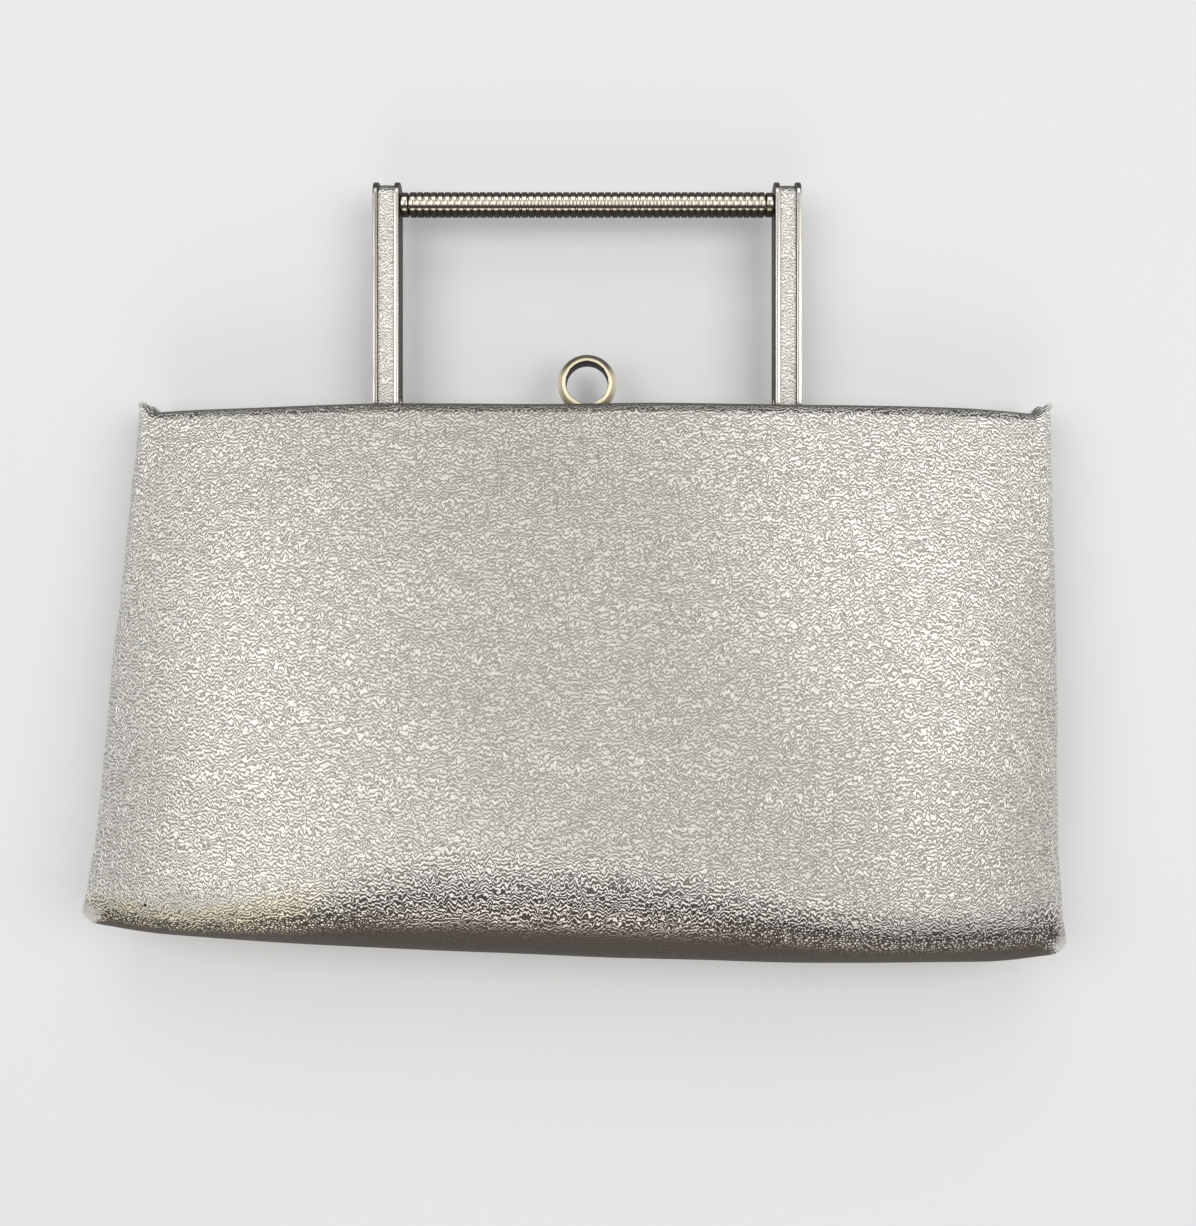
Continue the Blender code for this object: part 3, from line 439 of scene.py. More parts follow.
class Finish(Graph):
    """A new material, with the patterns that this bag's finishes share."""

    def __init__(self, name, **plain):
        self.material = bpy.data.materials.new(name)
        self.material.use_nodes = True
        super().__init__(self.material.node_tree)
        self.shader = self.tree.nodes["Principled BSDF"]
        self.place = self.out("ShaderNodeTexCoord", output="Object")
        for socket, value in plain.items():
            self.shader.inputs[socket.replace("_", " ").title()].default_value = value

    def part(self, axis):
        """One coordinate of the place on the object."""
        return self.number("ShaderNodeSeparateXYZ", None, {0: self.place}, axis)

    def mark(self, name):
        """A number that was stored on the mesh."""
        return self.number("ShaderNodeAttribute", {"attribute_name": name}, output="Fac")

    def scaled(self, stretch):
        """The object's place, multiplied by three factors: across, up and out."""
        return self.out("ShaderNodeMapping", None, {"Vector": self.place, "Scale": stretch})

    def noise(self, stretch, detail=2.0, roughness=0.5):
        """A soft, cloudy pattern from 0 to 1."""
        inputs = {"Vector": self.scaled(stretch), "Scale": 1.0, "Detail": detail,
                  "Roughness": roughness}
        return self.number("ShaderNodeTexNoise", None, inputs, "Fac")

    def cells(self, stretch, feature="DISTANCE_TO_EDGE"):
        """How far a place is from the edge of its cell, or from the cell's point."""
        inputs = {"Vector": self.scaled(stretch), "Scale": 1.0}
        return self.number("ShaderNodeTexVoronoi", {"feature": feature}, inputs, "Distance")

    def colour(self, share, first, second):
        """Two colours mixed by a share from 0 to 1."""
        first, second = [(*c, 1) if isinstance(c, tuple) else c for c in (first, second)]
        inputs = {0: share, 6: first, 7: second}
        return self.out("ShaderNodeMix", {"data_type": "RGBA"}, inputs, 2)

    def bump(self, height, distance):
        """Turn a height from 0 to 1 into a surface that is that many metres deep."""
        inputs = {"Height": height, "Distance": distance, "Strength": 1.0}
        return self.out("ShaderNodeBump", None, inputs)

    def shade_film(self, share, tone):
        """Paint shade: cover the main shader by a share from 0 to 1 with a dull, dark film that
        hardly shines.
        """
        base = (*tone, 1) if isinstance(tone, tuple) else tone
        cover = self.out("ShaderNodeBsdfPrincipled", None, {
            "Base Color": base, "Roughness": FILM_ROUGHNESS, "Specular IOR Level": FILM_SHINE})
        both = self.out("ShaderNodeMixShader", None,
                        {0: share, 1: self.shader.outputs[0], 2: cover})
        self.feed(self.tree.nodes["Material Output"].inputs["Surface"], both)

    def wear(self, **sockets):
        """Feed the main shader's sockets, named as in the Principled shader."""
        for socket, value in sockets.items():
            self.feed(self.shader.inputs[socket.replace("_", " ")], value)
        print(self.material.name, "has", len(self.tree.nodes), "nodes")
        return self.material


# %% [markdown]
# ## Crinkled metallic leather
# Foil-coated leather is pressed with a fine crinkle: wavy ridges about a millimetre apart
# that run along the bag, parted by thin dark creases. A sine of the run down the sheet
# draws the ridges. One noise makes each of them zigzag, a broader one turns their run, and
# a third shifts them by half a ridge in patches, so that they break off and fork. Small
# pillows roughen the crests, and out at the ends of the base roll pebbles take over.

# %% Grain of the leather
RIDGE_PITCH, CRINKLE_DEPTH = 0.00106, 0.00016
ZIGZAG_ACROSS, ZIGZAG_DOWN, ZIGZAG_SWING = 920, 220, 20.0
TURN_STRETCH, TURN_SWING = (70, 100, 100), 16.0
BREAK_STRETCH, BREAK_EDGE = (420, 520, 520), (0.46, 0.54)
PILLOW_STRETCH, PILLOW_EDGE, PILLOW_SHARE = (1500, 1900, 1900), (0.32, 0.65), 0.28
PEBBLE_STRETCH, PEBBLE_EDGE = (1200, 1300, 1300), (0.03, 0.27)


def leather_grain(finish, pebbled, fine):
    """The height of the crinkle, from 0 in a crease to 1 on a crest."""
    zigzag = finish.noise((ZIGZAG_ACROSS * fine, ZIGZAG_DOWN, ZIGZAG_DOWN), 1.0)
    turning = finish.noise(TURN_STRETCH, 1.0)
    breaks = finish.noise(BREAK_STRETCH, 1.0).ramp(*BREAK_EDGE)
    phase = (finish.mark("down") * (2 * pi * fine / RIDGE_PITCH) + zigzag * ZIGZAG_SWING
             + turning * TURN_SWING + breaks * pi)
    ridges = phase.maths("SINE", phase) * 0.5 + 0.5
    pillows = finish.noise(PILLOW_STRETCH, 1.5, 0.6).ramp(*PILLOW_EDGE)
    pebbles = finish.cells(PEBBLE_STRETCH).ramp(*PEBBLE_EDGE)
    pressed = ridges * (1 - PILLOW_SHARE) + pillows * PILLOW_SHARE
    return pressed + (pebbles - pressed) * pebbled


# %% [markdown]
# ## Colours of the leather
# Three marks on each sheet say how far a place is rolled under, how near it is to the
# mouth's edge, and how worn it is. The crests are pearl, with painted shade up the middle,
# and the creases are painted dark as shade. Where the crests roll under, a painted reflection
# turns them golden on the left and faintly lilac elsewhere, then painted shade turns them
# brown, and the creases open and darken further. A dull film of painted shade lies over the
# last of the roll in dark bronze, and over the mouth's edge in grey. The corners have worn
# pale, and one small flaw on the left shows the dark ground.

# %% Leather finish
# Apart from the pearl, the worn tone and the flaw, these tones are painted shade and painted
# reflections.
PEARL, PEARL_CLOUD_AND_SHADE, WORN_TONE = (0.95, 0.928, 0.87), (0.57, 0.545, 0.49), (0.84, 0.83, 0.80)
GOLD_REFLECTION, LILAC_REFLECTION, BROWN_SHADE_TONE = (1.0, 0.93, 0.71), (0.95, 0.88, 0.87), (0.34, 0.285, 0.23)
CREASE_SHADE_TONE, DEEP_CREASE_SHADE_AND_FLAW = (0.37, 0.345, 0.305), (0.022, 0.016, 0.012)
ROLL_SHADE_TONE, LOWEST_SHADE_TONE = (0.067, 0.051, 0.039), (0.030, 0.025, 0.021)
EDGE_SHADE_TONE = (0.085, 0.078, 0.070)
# Ramps of x and y, in metres.
GOLD_SIDE, PEBBLE_SIDE, PEBBLE_SHIFT = (-0.052, -0.074), (0.025, 0.065), 0.008
MIDDLE_SLANT, MIDDLE_BAND, MIDDLE_TOP = 0.45, (0.105, 0.015), (0.080, 0.066)
# Ramps of the marks and of the clouds.
ROLLED, BROWN_SHADING, ROLL_SHADED, LOWEST = (0.02, 0.30), (0.42, 0.70), (0.63, 0.78), (0.78, 1.0)
TURNED, PEBBLED, EDGE_SHADED, CLOUDED = (0.02, 0.54), (0.38, 0.66), (0.40, 0.66), (0.25, 0.75)
# The most that each change may take of the colour or the grain.
CLOUD_MOST, MIDDLE_SHADE_MOST, GOLD_MOST, LILAC_MOST, BROWN_MOST = 0.25, 0.70, 0.85, 0.7, 0.8
PEBBLE_MOST, CREASE_MOST, WORN_MOST, SHADE_FILM_MOST, WORN_FLAT = 0.75, 0.96, 0.9, 0.92, 0.75
# How far one pattern leads another: a crease darkens before the crest beside it.
GOLD_LAG, EDGE_LEAD, OPEN_LEAD = 0.2, 2.6, 0.27
CREST_LAG, ROLL_SHADE_LEAD, EDGE_SHADE_LEAD = -0.20, 0.16, 0.40
CREASE_SOFT, CREST_ROUGHNESS, CREASE_ROUGHER = 0.13, 0.37, 0.20
FLAW_AT, FLAW_SIZE, FLAW_EDGE = (-0.1082, -0.0564), 0.00045, (1.3, 0.8)


def front_point_near(x, y):
    """The point of the front leather that lies over a place on the table."""
    spots = [wrap_point(u, v) for u in steps(-1, 1, 121) for v in steps(3.6, 4.6, 121)]
    return min(spots, key=lambda spot: (spot.x - x) ** 2 + (spot.y - y) ** 2)


def crest_colour(finish, under, gold_reflection_side, grain, cloud_and_shade_tone):
    """Pearl, with painted shade up the middle, and painted reflections and brown shade on the
    roll.
    """
    cloud = finish.noise((14, 18, 20)).ramp(*CLOUDED)
    # Painted shade up the middle of the front: a darker slanted band there.
    middle = abs(finish.part("X") + finish.part("Y") * MIDDLE_SLANT).ramp(*MIDDLE_BAND)
    middle = middle * finish.part("Y").ramp(*MIDDLE_TOP)
    crest = finish.colour(cloud * CLOUD_MOST + middle * MIDDLE_SHADE_MOST, PEARL, cloud_and_shade_tone)
    # Painted reflections where the crests roll under: golden on the left, faintly lilac
    # elsewhere.
    rolled = under.ramp(*ROLLED)
    crest = finish.colour(rolled * gold_reflection_side * GOLD_MOST, crest, GOLD_REFLECTION)
    crest = finish.colour(rolled * (1 - gold_reflection_side) * LILAC_MOST, crest, LILAC_REFLECTION)
    # Then painted brown shade on the crests lower on the roll.
    brown_shade = (under + grain * CREST_LAG).ramp(*BROWN_SHADING) * BROWN_MOST
    return finish.colour(brown_shade, crest, BROWN_SHADE_TONE)


def add_shade_films(finish, under, edge, crease):
    """Painted shade as dull films: dark bronze over the last of the base roll, grey over the
    mouth's edge.
    """
    roll_shade = (under + crease * ROLL_SHADE_LEAD).ramp(*ROLL_SHADED)
    edge_shade = (edge + crease * EDGE_SHADE_LEAD).ramp(*EDGE_SHADED)
    roll_tone = finish.colour(under.ramp(*LOWEST), ROLL_SHADE_TONE, LOWEST_SHADE_TONE)
    finish.shade_film(roll_shade.maths("MAXIMUM", roll_shade, edge_shade) * SHADE_FILM_MOST,
                finish.colour(edge_shade, roll_tone, EDGE_SHADE_TONE))


def leather_finish(name, fine, crease_width, metallic, cloud_and_shade_tone):
    """The leather, with its ridges `fine` times closer than on the bag's body."""
    finish = Finish(name, metallic=metallic)
    under, edge, worn = finish.mark("under"), finish.mark("edge"), finish.mark("worn")
    gold_reflection_side = finish.part("X").ramp(*GOLD_SIDE)
    turned = (under * (1 - gold_reflection_side * GOLD_LAG) + edge * EDGE_LEAD).ramp(*TURNED)
    aside = abs(finish.part("X") + PEBBLE_SHIFT).ramp(*PEBBLE_SIDE)
    grain = leather_grain(finish, under.ramp(*PEBBLED) * aside * PEBBLE_MOST, fine)
    widest, narrowest = crease_width + CREASE_SOFT, crease_width - CREASE_SOFT
    crease = (grain - turned * OPEN_LEAD).ramp(widest, narrowest)
    crest = crest_colour(finish, under, gold_reflection_side, grain, cloud_and_shade_tone)
    # The creases get painted shade, deeper where they roll under or near the mouth's edge; the
    # flaw reuses the deepest tone for its dark ground.
    crease_shade = finish.colour(turned, CREASE_SHADE_TONE, DEEP_CREASE_SHADE_AND_FLAW)
    base = finish.colour(crease * CREASE_MOST, crest, crease_shade)
    base = finish.colour(worn * WORN_MOST, base, WORN_TONE)
    off = finish.number("ShaderNodeVectorMath", {"operation": "DISTANCE"},
                        {0: finish.place, 1: front_point_near(*FLAW_AT)}, "Value")
    flaw = off.ramp(FLAW_SIZE * FLAW_EDGE[0], FLAW_SIZE * FLAW_EDGE[1])
    base = finish.colour(flaw, base, DEEP_CREASE_SHADE_AND_FLAW)
    add_shade_films(finish, under, edge, crease)
    height = grain * (1 - worn * WORN_FLAT)
    return finish.wear(Base_Color=base, Roughness=CREST_ROUGHNESS + crease * CREASE_ROUGHER,
                       Normal=finish.bump(height, CRINKLE_DEPTH))


metallic_leather = leather_finish("metallic_leather", 1.0, 0.39, 0.86, PEARL_CLOUD_AND_SHADE)
strip_leather = leather_finish("strip_leather", 1.25, 0.37, 0.2, PEARL)

# %% [markdown]
# ## Leather from behind, cloth and board
# The flesh side of the leather is a dull, hairy beige. The lining is a satin whose long
# threads run up the bag, so that it is ribbed very finely one way. The stiffening board is
# grey pressed paper with short fibres in it.

# %% Inside finishes
HAIR_STRETCH, HAIR_DEPTH = (900, 2600, 900), 0.00008
THREAD_PITCH, SLUB_STRETCH, WEAVE_DEPTH = 0.0011, (2400, 190, 2400), 0.00005
FIBRE_STRETCH, FIBRE_DEPTH = (1900, 500, 1900), 0.00006
FLESH_CLOUD, SATIN_CLOUD, SPECK_STRETCH = (60, 60, 60), (45, 45, 45), (420, 420, 420)
FLESH_TONES = (0.30, 0.25, 0.19), (0.50, 0.43, 0.34)
SATIN_TONES, SATIN_SHEEN = ((0.40, 0.345, 0.265), (0.68, 0.615, 0.50)), 0.25
BOARD_TONES = (0.24, 0.225, 0.20), (0.55, 0.53, 0.49)


def flesh_finish():
    """The dull, hairy back of the leather."""
    finish = Finish("leather_flesh_side", roughness=0.85)
    hairs = finish.noise(HAIR_STRETCH, 3.0, 0.6)
    cloud = finish.noise(FLESH_CLOUD)
    base = finish.colour(hairs * 0.6 + cloud * 0.4, *FLESH_TONES)
    return finish.wear(Base_Color=base, Normal=finish.bump(hairs, HAIR_DEPTH))


def satin_finish():
    """Satin whose ribs run up the bag, with a slight cloudiness of wear."""
    finish = Finish("lining_satin", roughness=0.42)
    finish.shader.inputs["Sheen Weight"].default_value = SATIN_SHEEN
    across = finish.part("X")
    threads = abs(across.maths("SINE", across * (2 * pi / THREAD_PITCH)))
    slub = finish.noise(SLUB_STRETCH)
    cloud = finish.noise(SATIN_CLOUD)
    weave = threads * 0.55 + slub * 0.45
    base = finish.colour(weave * 0.7 + cloud * 0.3, *SATIN_TONES)
    return finish.wear(Base_Color=base, Roughness=0.36 + cloud * 0.2,
                       Normal=finish.bump(weave, WEAVE_DEPTH))


def board_finish():
    """Pressed paper with short fibres."""
    finish = Finish("grey_board", roughness=0.95)
    fibres = finish.noise(FIBRE_STRETCH, 3.0, 0.65)
    specks = finish.noise(SPECK_STRETCH)
    base = finish.colour(fibres * 0.6 + specks * 0.4, *BOARD_TONES)
    return finish.wear(Base_Color=base, Normal=finish.bump(fibres, FIBRE_DEPTH))


leather_flesh = flesh_finish()
lining_satin = satin_finish()
grey_board = board_finish()

# %% [markdown]
# ## Plated metal
# The handle's arms and the lever have a pale champagne plating, and the bar and the ring
# are more golden. All were polished and then handled for years: hairline scratches, tiny
# pits and a slightly browner tone in dull patches. Painted shade lies like a dark film on
# the faces that turn away from the light, where a mark on the piece says so. The hidden frame
# has a yellower, satin plating with brush lines, and the spring and its pin are plain steel.

# %% Metal finishes
# The first tone is painted shade, laid as a dark film.
SHADE_FILM_TONE, SCRATCH_DEPTH, PIT_DARKNESS = (0.030, 0.023, 0.016), 0.000006, 0.45
SCRATCH_STRETCH, SCRATCHED = (260, 5200, 3100), (0.60, 0.74)
CROSS_STRETCH, CROSSED = (4700, 420, 2600), (0.64, 0.78)
PATCH_STRETCH, PATCHED = (110, 110, 110), (0.42, 0.72)
PIT_STRETCH, PITTED = (900, 900, 900), (0.16, 0.06)


def plating(name, tone, dull_tone, roughness, brushed=0.0, metallic=1.0):
    """A plated metal that scratches, brushing and dull patches make rougher."""
    finish = Finish(name, metallic=metallic)
    scratches = finish.noise(SCRATCH_STRETCH, 1.5, 0.6)
    crossing = finish.noise(CROSS_STRETCH, 1.5, 0.6)
    lines = (scratches.ramp(*SCRATCHED) + crossing.ramp(*CROSSED)) * 0.5
    patches = finish.noise(PATCH_STRETCH, 1.5).ramp(*PATCHED)
    pits = finish.cells(PIT_STRETCH, "F1").ramp(*PITTED)
    base = finish.colour(patches * 0.4 + lines * 0.12, tone, dull_tone)
    base = finish.colour(pits * 0.15, base, tuple(c * PIT_DARKNESS for c in dull_tone))
    # Painted shade: a dark, dull film where the piece's shade mark says so.
    finish.shade_film(finish.mark("shade"), SHADE_FILM_TONE)
    return finish.wear(Base_Color=base, Normal=finish.bump(lines * -0.5, SCRATCH_DEPTH),
                       Roughness=roughness + patches * 0.08 + lines * (0.05 + brushed))


champagne = plating("champagne_plating", (0.77, 0.735, 0.68), (0.66, 0.60, 0.50), 0.25)
bar_gold = plating("bar_gold_plating", (0.70, 0.64, 0.55), (0.54, 0.46, 0.36), 0.25)
ring_gold = plating("ring_gold_plating", (0.93, 0.83, 0.60), (0.80, 0.68, 0.44), 0.38,
                    metallic=0.5)
frame_gold = plating("frame_satin_gold", (0.78, 0.68, 0.45), (0.58, 0.48, 0.30), 0.32, 0.15)
spring_steel = plating("spring_steel", (0.62, 0.62, 0.63), (0.44, 0.44, 0.45), 0.24, 0.1)

# %% [markdown]
# ## Finishes for the CAD pieces that stay
# The rails, rivets, lugs, bracket, catch, lever, pins and boards already have their true
# shapes, so they keep their meshes and only get a better finish.

# %% Dress the CAD pieces
KEPT_FINISHES = {
    frame_gold: ("back_rail", "front_rail", "left_hinge_rivet", "right_hinge_rivet",
                 "left_handle_lug", "right_handle_lug", "catch_plate", "clasp_bracket"),
    champagne: ("clasp_lever", "left_pivot_pin", "right_pivot_pin", "crossbar_rod"),
    spring_steel: ("clasp_pin", "clasp_spring"),
    grey_board: ("back_board",),
}
for material, names in KEPT_FINISHES.items():
    for name in names:
        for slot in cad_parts[name].material_slots:
            slot.material = material
print("Kept from CAD:", sum(len(names) for names in KEPT_FINISHES.values()), "pieces")

# %% [markdown]
# ## The front leather in one piece
# On the real bag one skin runs from under the base, over the full front and into the
# mouth. CAD needs three solids there because the frame opens; here it is one sheet that
# bends over the hinge line. Its top edge is let down where the arms and the ring pass,
# so the columns are closest there.

# %% Front and back leather
RIM = LEATHER / 2
SIDE_LIMIT = 1 - RIM / HALF_WIDTH_BOTTOM
COLUMN_PITCH, LET_DOWN_RUN = 0.0018, 0.0013
LET_DOWN_OFFSETS = (-0.0005, 0.0, 0.0003, 0.0006, 0.0009, 0.0013, 0.0019)
ARM_CLEAR, RING_CLEAR = 0.0049, 0.0070
LET_DOWNS = ((-ARM_X, ARM_CLEAR), (0.0, RING_CLEAR), (ARM_X, ARM_CLEAR))
CLOSEST_SHARE, LIP_EDGE = 0.45, RIM / DEPTH_TOP * 2
# How far, in v, the front's and the back's lip is let down for the arms and the ring.
FRONT_LET_DOWN, BACK_LET_DOWN, BACK_LIP_END = (0.72, 0.90), (0.70, 0.60), 1.5
# Worn tips, and worn seams beside them.
WORN_PATCH, WORN_WANDER, WORN_START, WORN_RUN = 0.0021, 0.0016, 0.0012, 0.0050
SEAM_WORN, SEAM_WORN_START, SEAM_WORN_RUN = 0.45, 0.978, 0.020
# How high the base roll's painted reflections and shade reach: a hill in the middle, lower on
# the left and right.
HILL_HIGH, LEFT_HIGH, RIGHT_HIGH, SIDE_TURN = 0.0340, 0.0130, 0.0195, 0.3
HILL_CENTRE, HILL_HALF, HILL_RUN = -0.06, 0.14, 0.62
FRONT_EDGE_START, BACK_EDGE_END, EDGE_RUN = 5.12, 0.9, 0.8


def columns_across():
    """u values from side to side, closer beside each place that is let down."""
    count = round(2 * HALF_WIDTH_BOTTOM / COLUMN_PITCH)
    close = []
    for centre, half in LET_DOWNS:
        for offset in LET_DOWN_OFFSETS:
            for side in (-1, 1):
                close.append((centre + side * (half + offset) - LEAN_TOP) / HALF_WIDTH_TOP)
    apart = COLUMN_PITCH / HALF_WIDTH_BOTTOM
    even = [u for u in steps(-SIDE_LIMIT, SIDE_LIMIT, count)
            if all(abs(u - other) > apart * CLOSEST_SHARE for other in close)]
    return sorted(even + close)


def let_down(u):
    """Shares of the arms' and the ring's let-down at a column."""
    x = LEAN_TOP + u * HALF_WIDTH_TOP
    shares = [1 - climb(abs(x - centre), half, LET_DOWN_RUN) for centre, half in LET_DOWNS]
    return max(shares[0], shares[2]), shares[1]


def front_place(u, v):
    """v on the front, with the lip drawn back where it is let down."""
    arm, ring = let_down(u)
    edge = LAST_V - LIP_EDGE - FRONT_LET_DOWN[0] * arm - FRONT_LET_DOWN[1] * ring
    return v if v < 5 else mix(5, edge, (v - 5) / 2)


def back_place(u, v):
    """v on the back, with the lip drawn back in the same way."""
    arm, ring = let_down(u)
    edge = LIP_EDGE + BACK_LET_DOWN[0] * arm + BACK_LET_DOWN[1] * ring
    return v if v > BACK_LIP_END else mix(edge, BACK_LIP_END, v / BACK_LIP_END)


def leather_marks(point, u, v):
    """How far a place is rolled under, near the mouth's edge, and worn."""
    corners = [wrap_point(side, place) for side in (-1, 1) for place in TIP_PLACES]
    near = min((point - corner).length for corner in corners)
    wander = noise.noise(point / WORN_PATCH) * WORN_WANDER
    worn = 1 - climb(near + wander, WORN_START, WORN_RUN)
    worn = max(worn, SEAM_WORN * climb(abs(u), SEAM_WORN_START, SEAM_WORN_RUN))
    side_high = mix(LEFT_HIGH, RIGHT_HIGH, climb(u, -SIDE_TURN, 2 * SIDE_TURN))
    reach = mix(HILL_HIGH, side_high, climb(abs(u - HILL_CENTRE), HILL_HALF, HILL_RUN))
    height = section_point(u, v)[0] - section_sizes(u)[-1]
    under = max(0.0, 1 - height / reach)
    edge = max(0.0, (v - FRONT_EDGE_START) / EDGE_RUN, (BACK_EDGE_END - v) / EDGE_RUN)
    edge = min(1.0, edge)
    return under * (1 - worn), edge * (1 - worn), worn


def wrap_sheet(name, stops, place, middle):
    """A leather sheet over a range of v, with its marks; its run counts from the middle."""
    v_values = [stops[0][0]]
    for (start, _), (end, count) in zip(stops, stops[1:]):
        v_values += steps(start, end, count + 1)[1:]
    columns = columns_across()
    spots = [[(u, place(u, v)) for u in columns] for v in v_values]
    rows = []
    for line in spots:
        row = []
        for u, v in line:
            point = wrap_point(u, v)
            row.append(point + wrap_normal(u, v) * ripple(point, u, v))
        rows.append(row)
    bm = bmesh.new()
    places = add_sheet(bm, rows, LEATHER, inside_slot=1)
    smooth_rows = [[wrap_point(u, v) for u, v in line] for line in spots]
    runs = runs_down(smooth_rows, min(range(len(rows)), key=lambda i: abs(v_values[i] - middle)))
    marks = [(*leather_marks(vert.co.copy(), *spots[i][j]), runs[i][j])
             for vert, i, j in places]
    piece = finished(name, bm, [metallic_leather, leather_flesh])
    for mark, values in zip(("under", "edge", "worn", "down"), zip(*marks)):
        add_mark(piece, mark, values)
    return piece


# Stops of v, each with its number of rows since the stop before.
FRONT_STOPS = ((3.018, 0), (4, 40), (5, 62), (6, 12), (LAST_V, 9))
BACK_STOPS = ((0, 0), (1, 12), (1.5, 6), (2, 8), (2.9925, 24))
front_leather = wrap_sheet("front_leather", FRONT_STOPS, front_place, 4.5)
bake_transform(front_leather)
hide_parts("front_panel_lower", "front_panel_crease", "front_panel_upper")
back_leather = wrap_sheet("back_leather", BACK_STOPS, back_place, 2.5)
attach(back_leather, "bag")
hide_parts("back_panel")

# %% [markdown]
# ## Side walls that fold
# Each side is a softer, thinner leather that folds inwards, so the bag lies flat when
# shut and fans out when the frame opens. It hangs between the back and the front, so its
# bend runs on a slant: the rear edge stays with the back, the front edge follows the
# front. Its inside is faced with the lining cloth.

# %% Side walls
GUSSET_SHARE, LOWER_FOLD = 0.982, 0.0030
SIDE_ROWS, SIDE_COLUMNS, LOW_TURNS = 40, 13, (0.07, 0.46, 14)


def inside_point(u, v, depth):
    """A point that lies a depth under the leather's outside."""
    return wrap_point(u, v) - wrap_normal(u, v) * depth


def pairs_down(share, high_y, low_y, count, turns):
    """Matching v values on the back and the front, from a height down and under."""
    back_high, low = section_point(share, 2)[0], section_point(share, 3)[0]
    front_high = section_point(share, 5)[0]
    pairs = []
    for y in steps(high_y, low_y, count):
        pairs.append((min(3.0, 2 + (back_high - y) / (back_high - low)),
                      min(5.0, max(4.0, 4 + (y - low) / (front_high - low)))))
    return pairs + [(3 + turn, 4 - turn) for turn in steps(*turns)]


def folded_wall(side, share, pairs, depth, fold, columns=SIDE_COLUMNS):
    """Rows of points from the back to the front that fold towards the bag's middle."""
    rows = []
    for v_back, v_front in pairs:
        start = inside_point(side * share, v_back, depth)
        end = inside_point(side * share, v_front, depth)
        row = []
        for t in steps(0, 1, columns):
            point = start.lerp(end, t)
            point.x -= side * fold(point) * sin(pi * t)
            row.append(point)
        rows.append(row if side > 0 else row[::-1])
    return rows


def gusset_fold(point):
    """The fold reaches in as far as the frame's leg at the hinge."""
    share = min(1.0, max(0.0, (point.y - BASE_Y) / (HINGE_Y - BASE_Y)))
    return mix(LOWER_FOLD, abs(point.x) - GUSSET - FRAME_HALF - GAP, share ** 2)


def add_side_wall(side, label):
    """Leather that folds between the back and the front, faced with satin."""
    top = section_point(GUSSET_SHARE, 5)[0] - SEAM_TOP_ROLL
    low = section_point(GUSSET_SHARE, 3)[0]
    pairs = pairs_down(GUSSET_SHARE, top, low, SIDE_ROWS, LOW_TURNS)
    bm = bmesh.new()
    rows = folded_wall(side, GUSSET_SHARE, pairs, LEATHER + GAP, gusset_fold)
    runs = runs_down(rows)
    down = [runs[i][j] for _, i, j in add_sheet(bm, rows, GUSSET, inside_slot=1)]
    wall = finished(label + "_side_wall", bm, [metallic_leather, lining_satin])
    add_mark(wall, "down", down)
    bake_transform(wall)
    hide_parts(label + "_gusset", label + "_gusset_fold")


add_side_wall(-1, "left")
add_side_wall(1, "right")

# %% [markdown]
# ## The board in the base
# A strip of grey board keeps the base round. It is bent to the inside of the leather, so
# it is another sheet of the same surface, one leather's thickness further in.

# %% Base board
BOARD, BOARD_SPAN, BOARD_TURNS = 0.0012, (-0.86, 0.86, 60), (3.10, 3.86, 24)


def add_base_board():
    """A bent board that lies on the inside of the leather."""
    rows = [[inside_point(u, v, LEATHER + GAP) for u in steps(*BOARD_SPAN)]
            for v in steps(*BOARD_TURNS)]
    bm = bmesh.new()
    add_sheet(bm, rows, BOARD)
    board = finished("base_stiffener", bm, [grey_board])
    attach(board, "bag")
    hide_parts("base_board")


add_base_board()

# %% [markdown]
# ## The lining and its pocket
# The lining hangs just inside the leather and its boards, and turns in behind the frame's
# rails at the mouth. The back half stays still, and the front half bends with the front
# leather. The pocket is a hemmed patch whose mouth stands a little open.

# %% Lining
LINING_SHARE, LINING_FOLD, LINING_COLUMNS = 0.93, 0.0020, 61
RAIL_SHEET, RAIL_TUCK, TUCK_RUN = 0.0012, 0.0008, 0.0130
TAPER, TAPER_START, TAPER_RUN = 0.045, 0.010, 0.030
LINING_SIDE_TOP, LINING_SIDE_ROWS, LINING_SIDE_COLUMNS = 0.012, 22, 11
LINING_LOW_TURNS, LINING_SEAM = (0.04, 0.46, 10), (3.49, 3.502)


def lining_point(u, v, side):
    """A point on the lining's hidden face; side is -1 on the back and 1 on the front."""
    narrowed = 1 - TAPER * climb(wrap_point(u, v).y, TAPER_START, TAPER_RUN)
    point = inside_point(u * narrowed, v, LINING_DEPTH)
    end_y = RAIL_TOP - RAIL_HEIGHT + RAIL_TUCK - TOP_CROWN * abs(u) ** CROWN_POWER
    web = MOUTH_Z + side * (GAP / 2 + RAIL_SHEET + GAP + LINING)
    share = smooth((point.y - end_y + TUCK_RUN) / TUCK_RUN)
    point.z = mix(point.z, web, share)
    point.y = min(point.y, end_y)
    return point


def lining_rows(share, v_values, side):
    """The grid of the lining's back or front."""
    columns = steps(-share, share, LINING_COLUMNS)
    return [[lining_point(u, v, side) for u in columns] for v in v_values]


def v_at_height(y, side):
    """v on the middle of the back or the front where the lining reaches a height."""
    if side < 0:
        high, low = section_point(0, 2)[0], section_point(0, 3)[0]
        return 2 + (high - y) / (high - low)
    low, high = section_point(0, 4)[0], section_point(0, 5)[0]
    return 4 + (y - low) / (high - low)


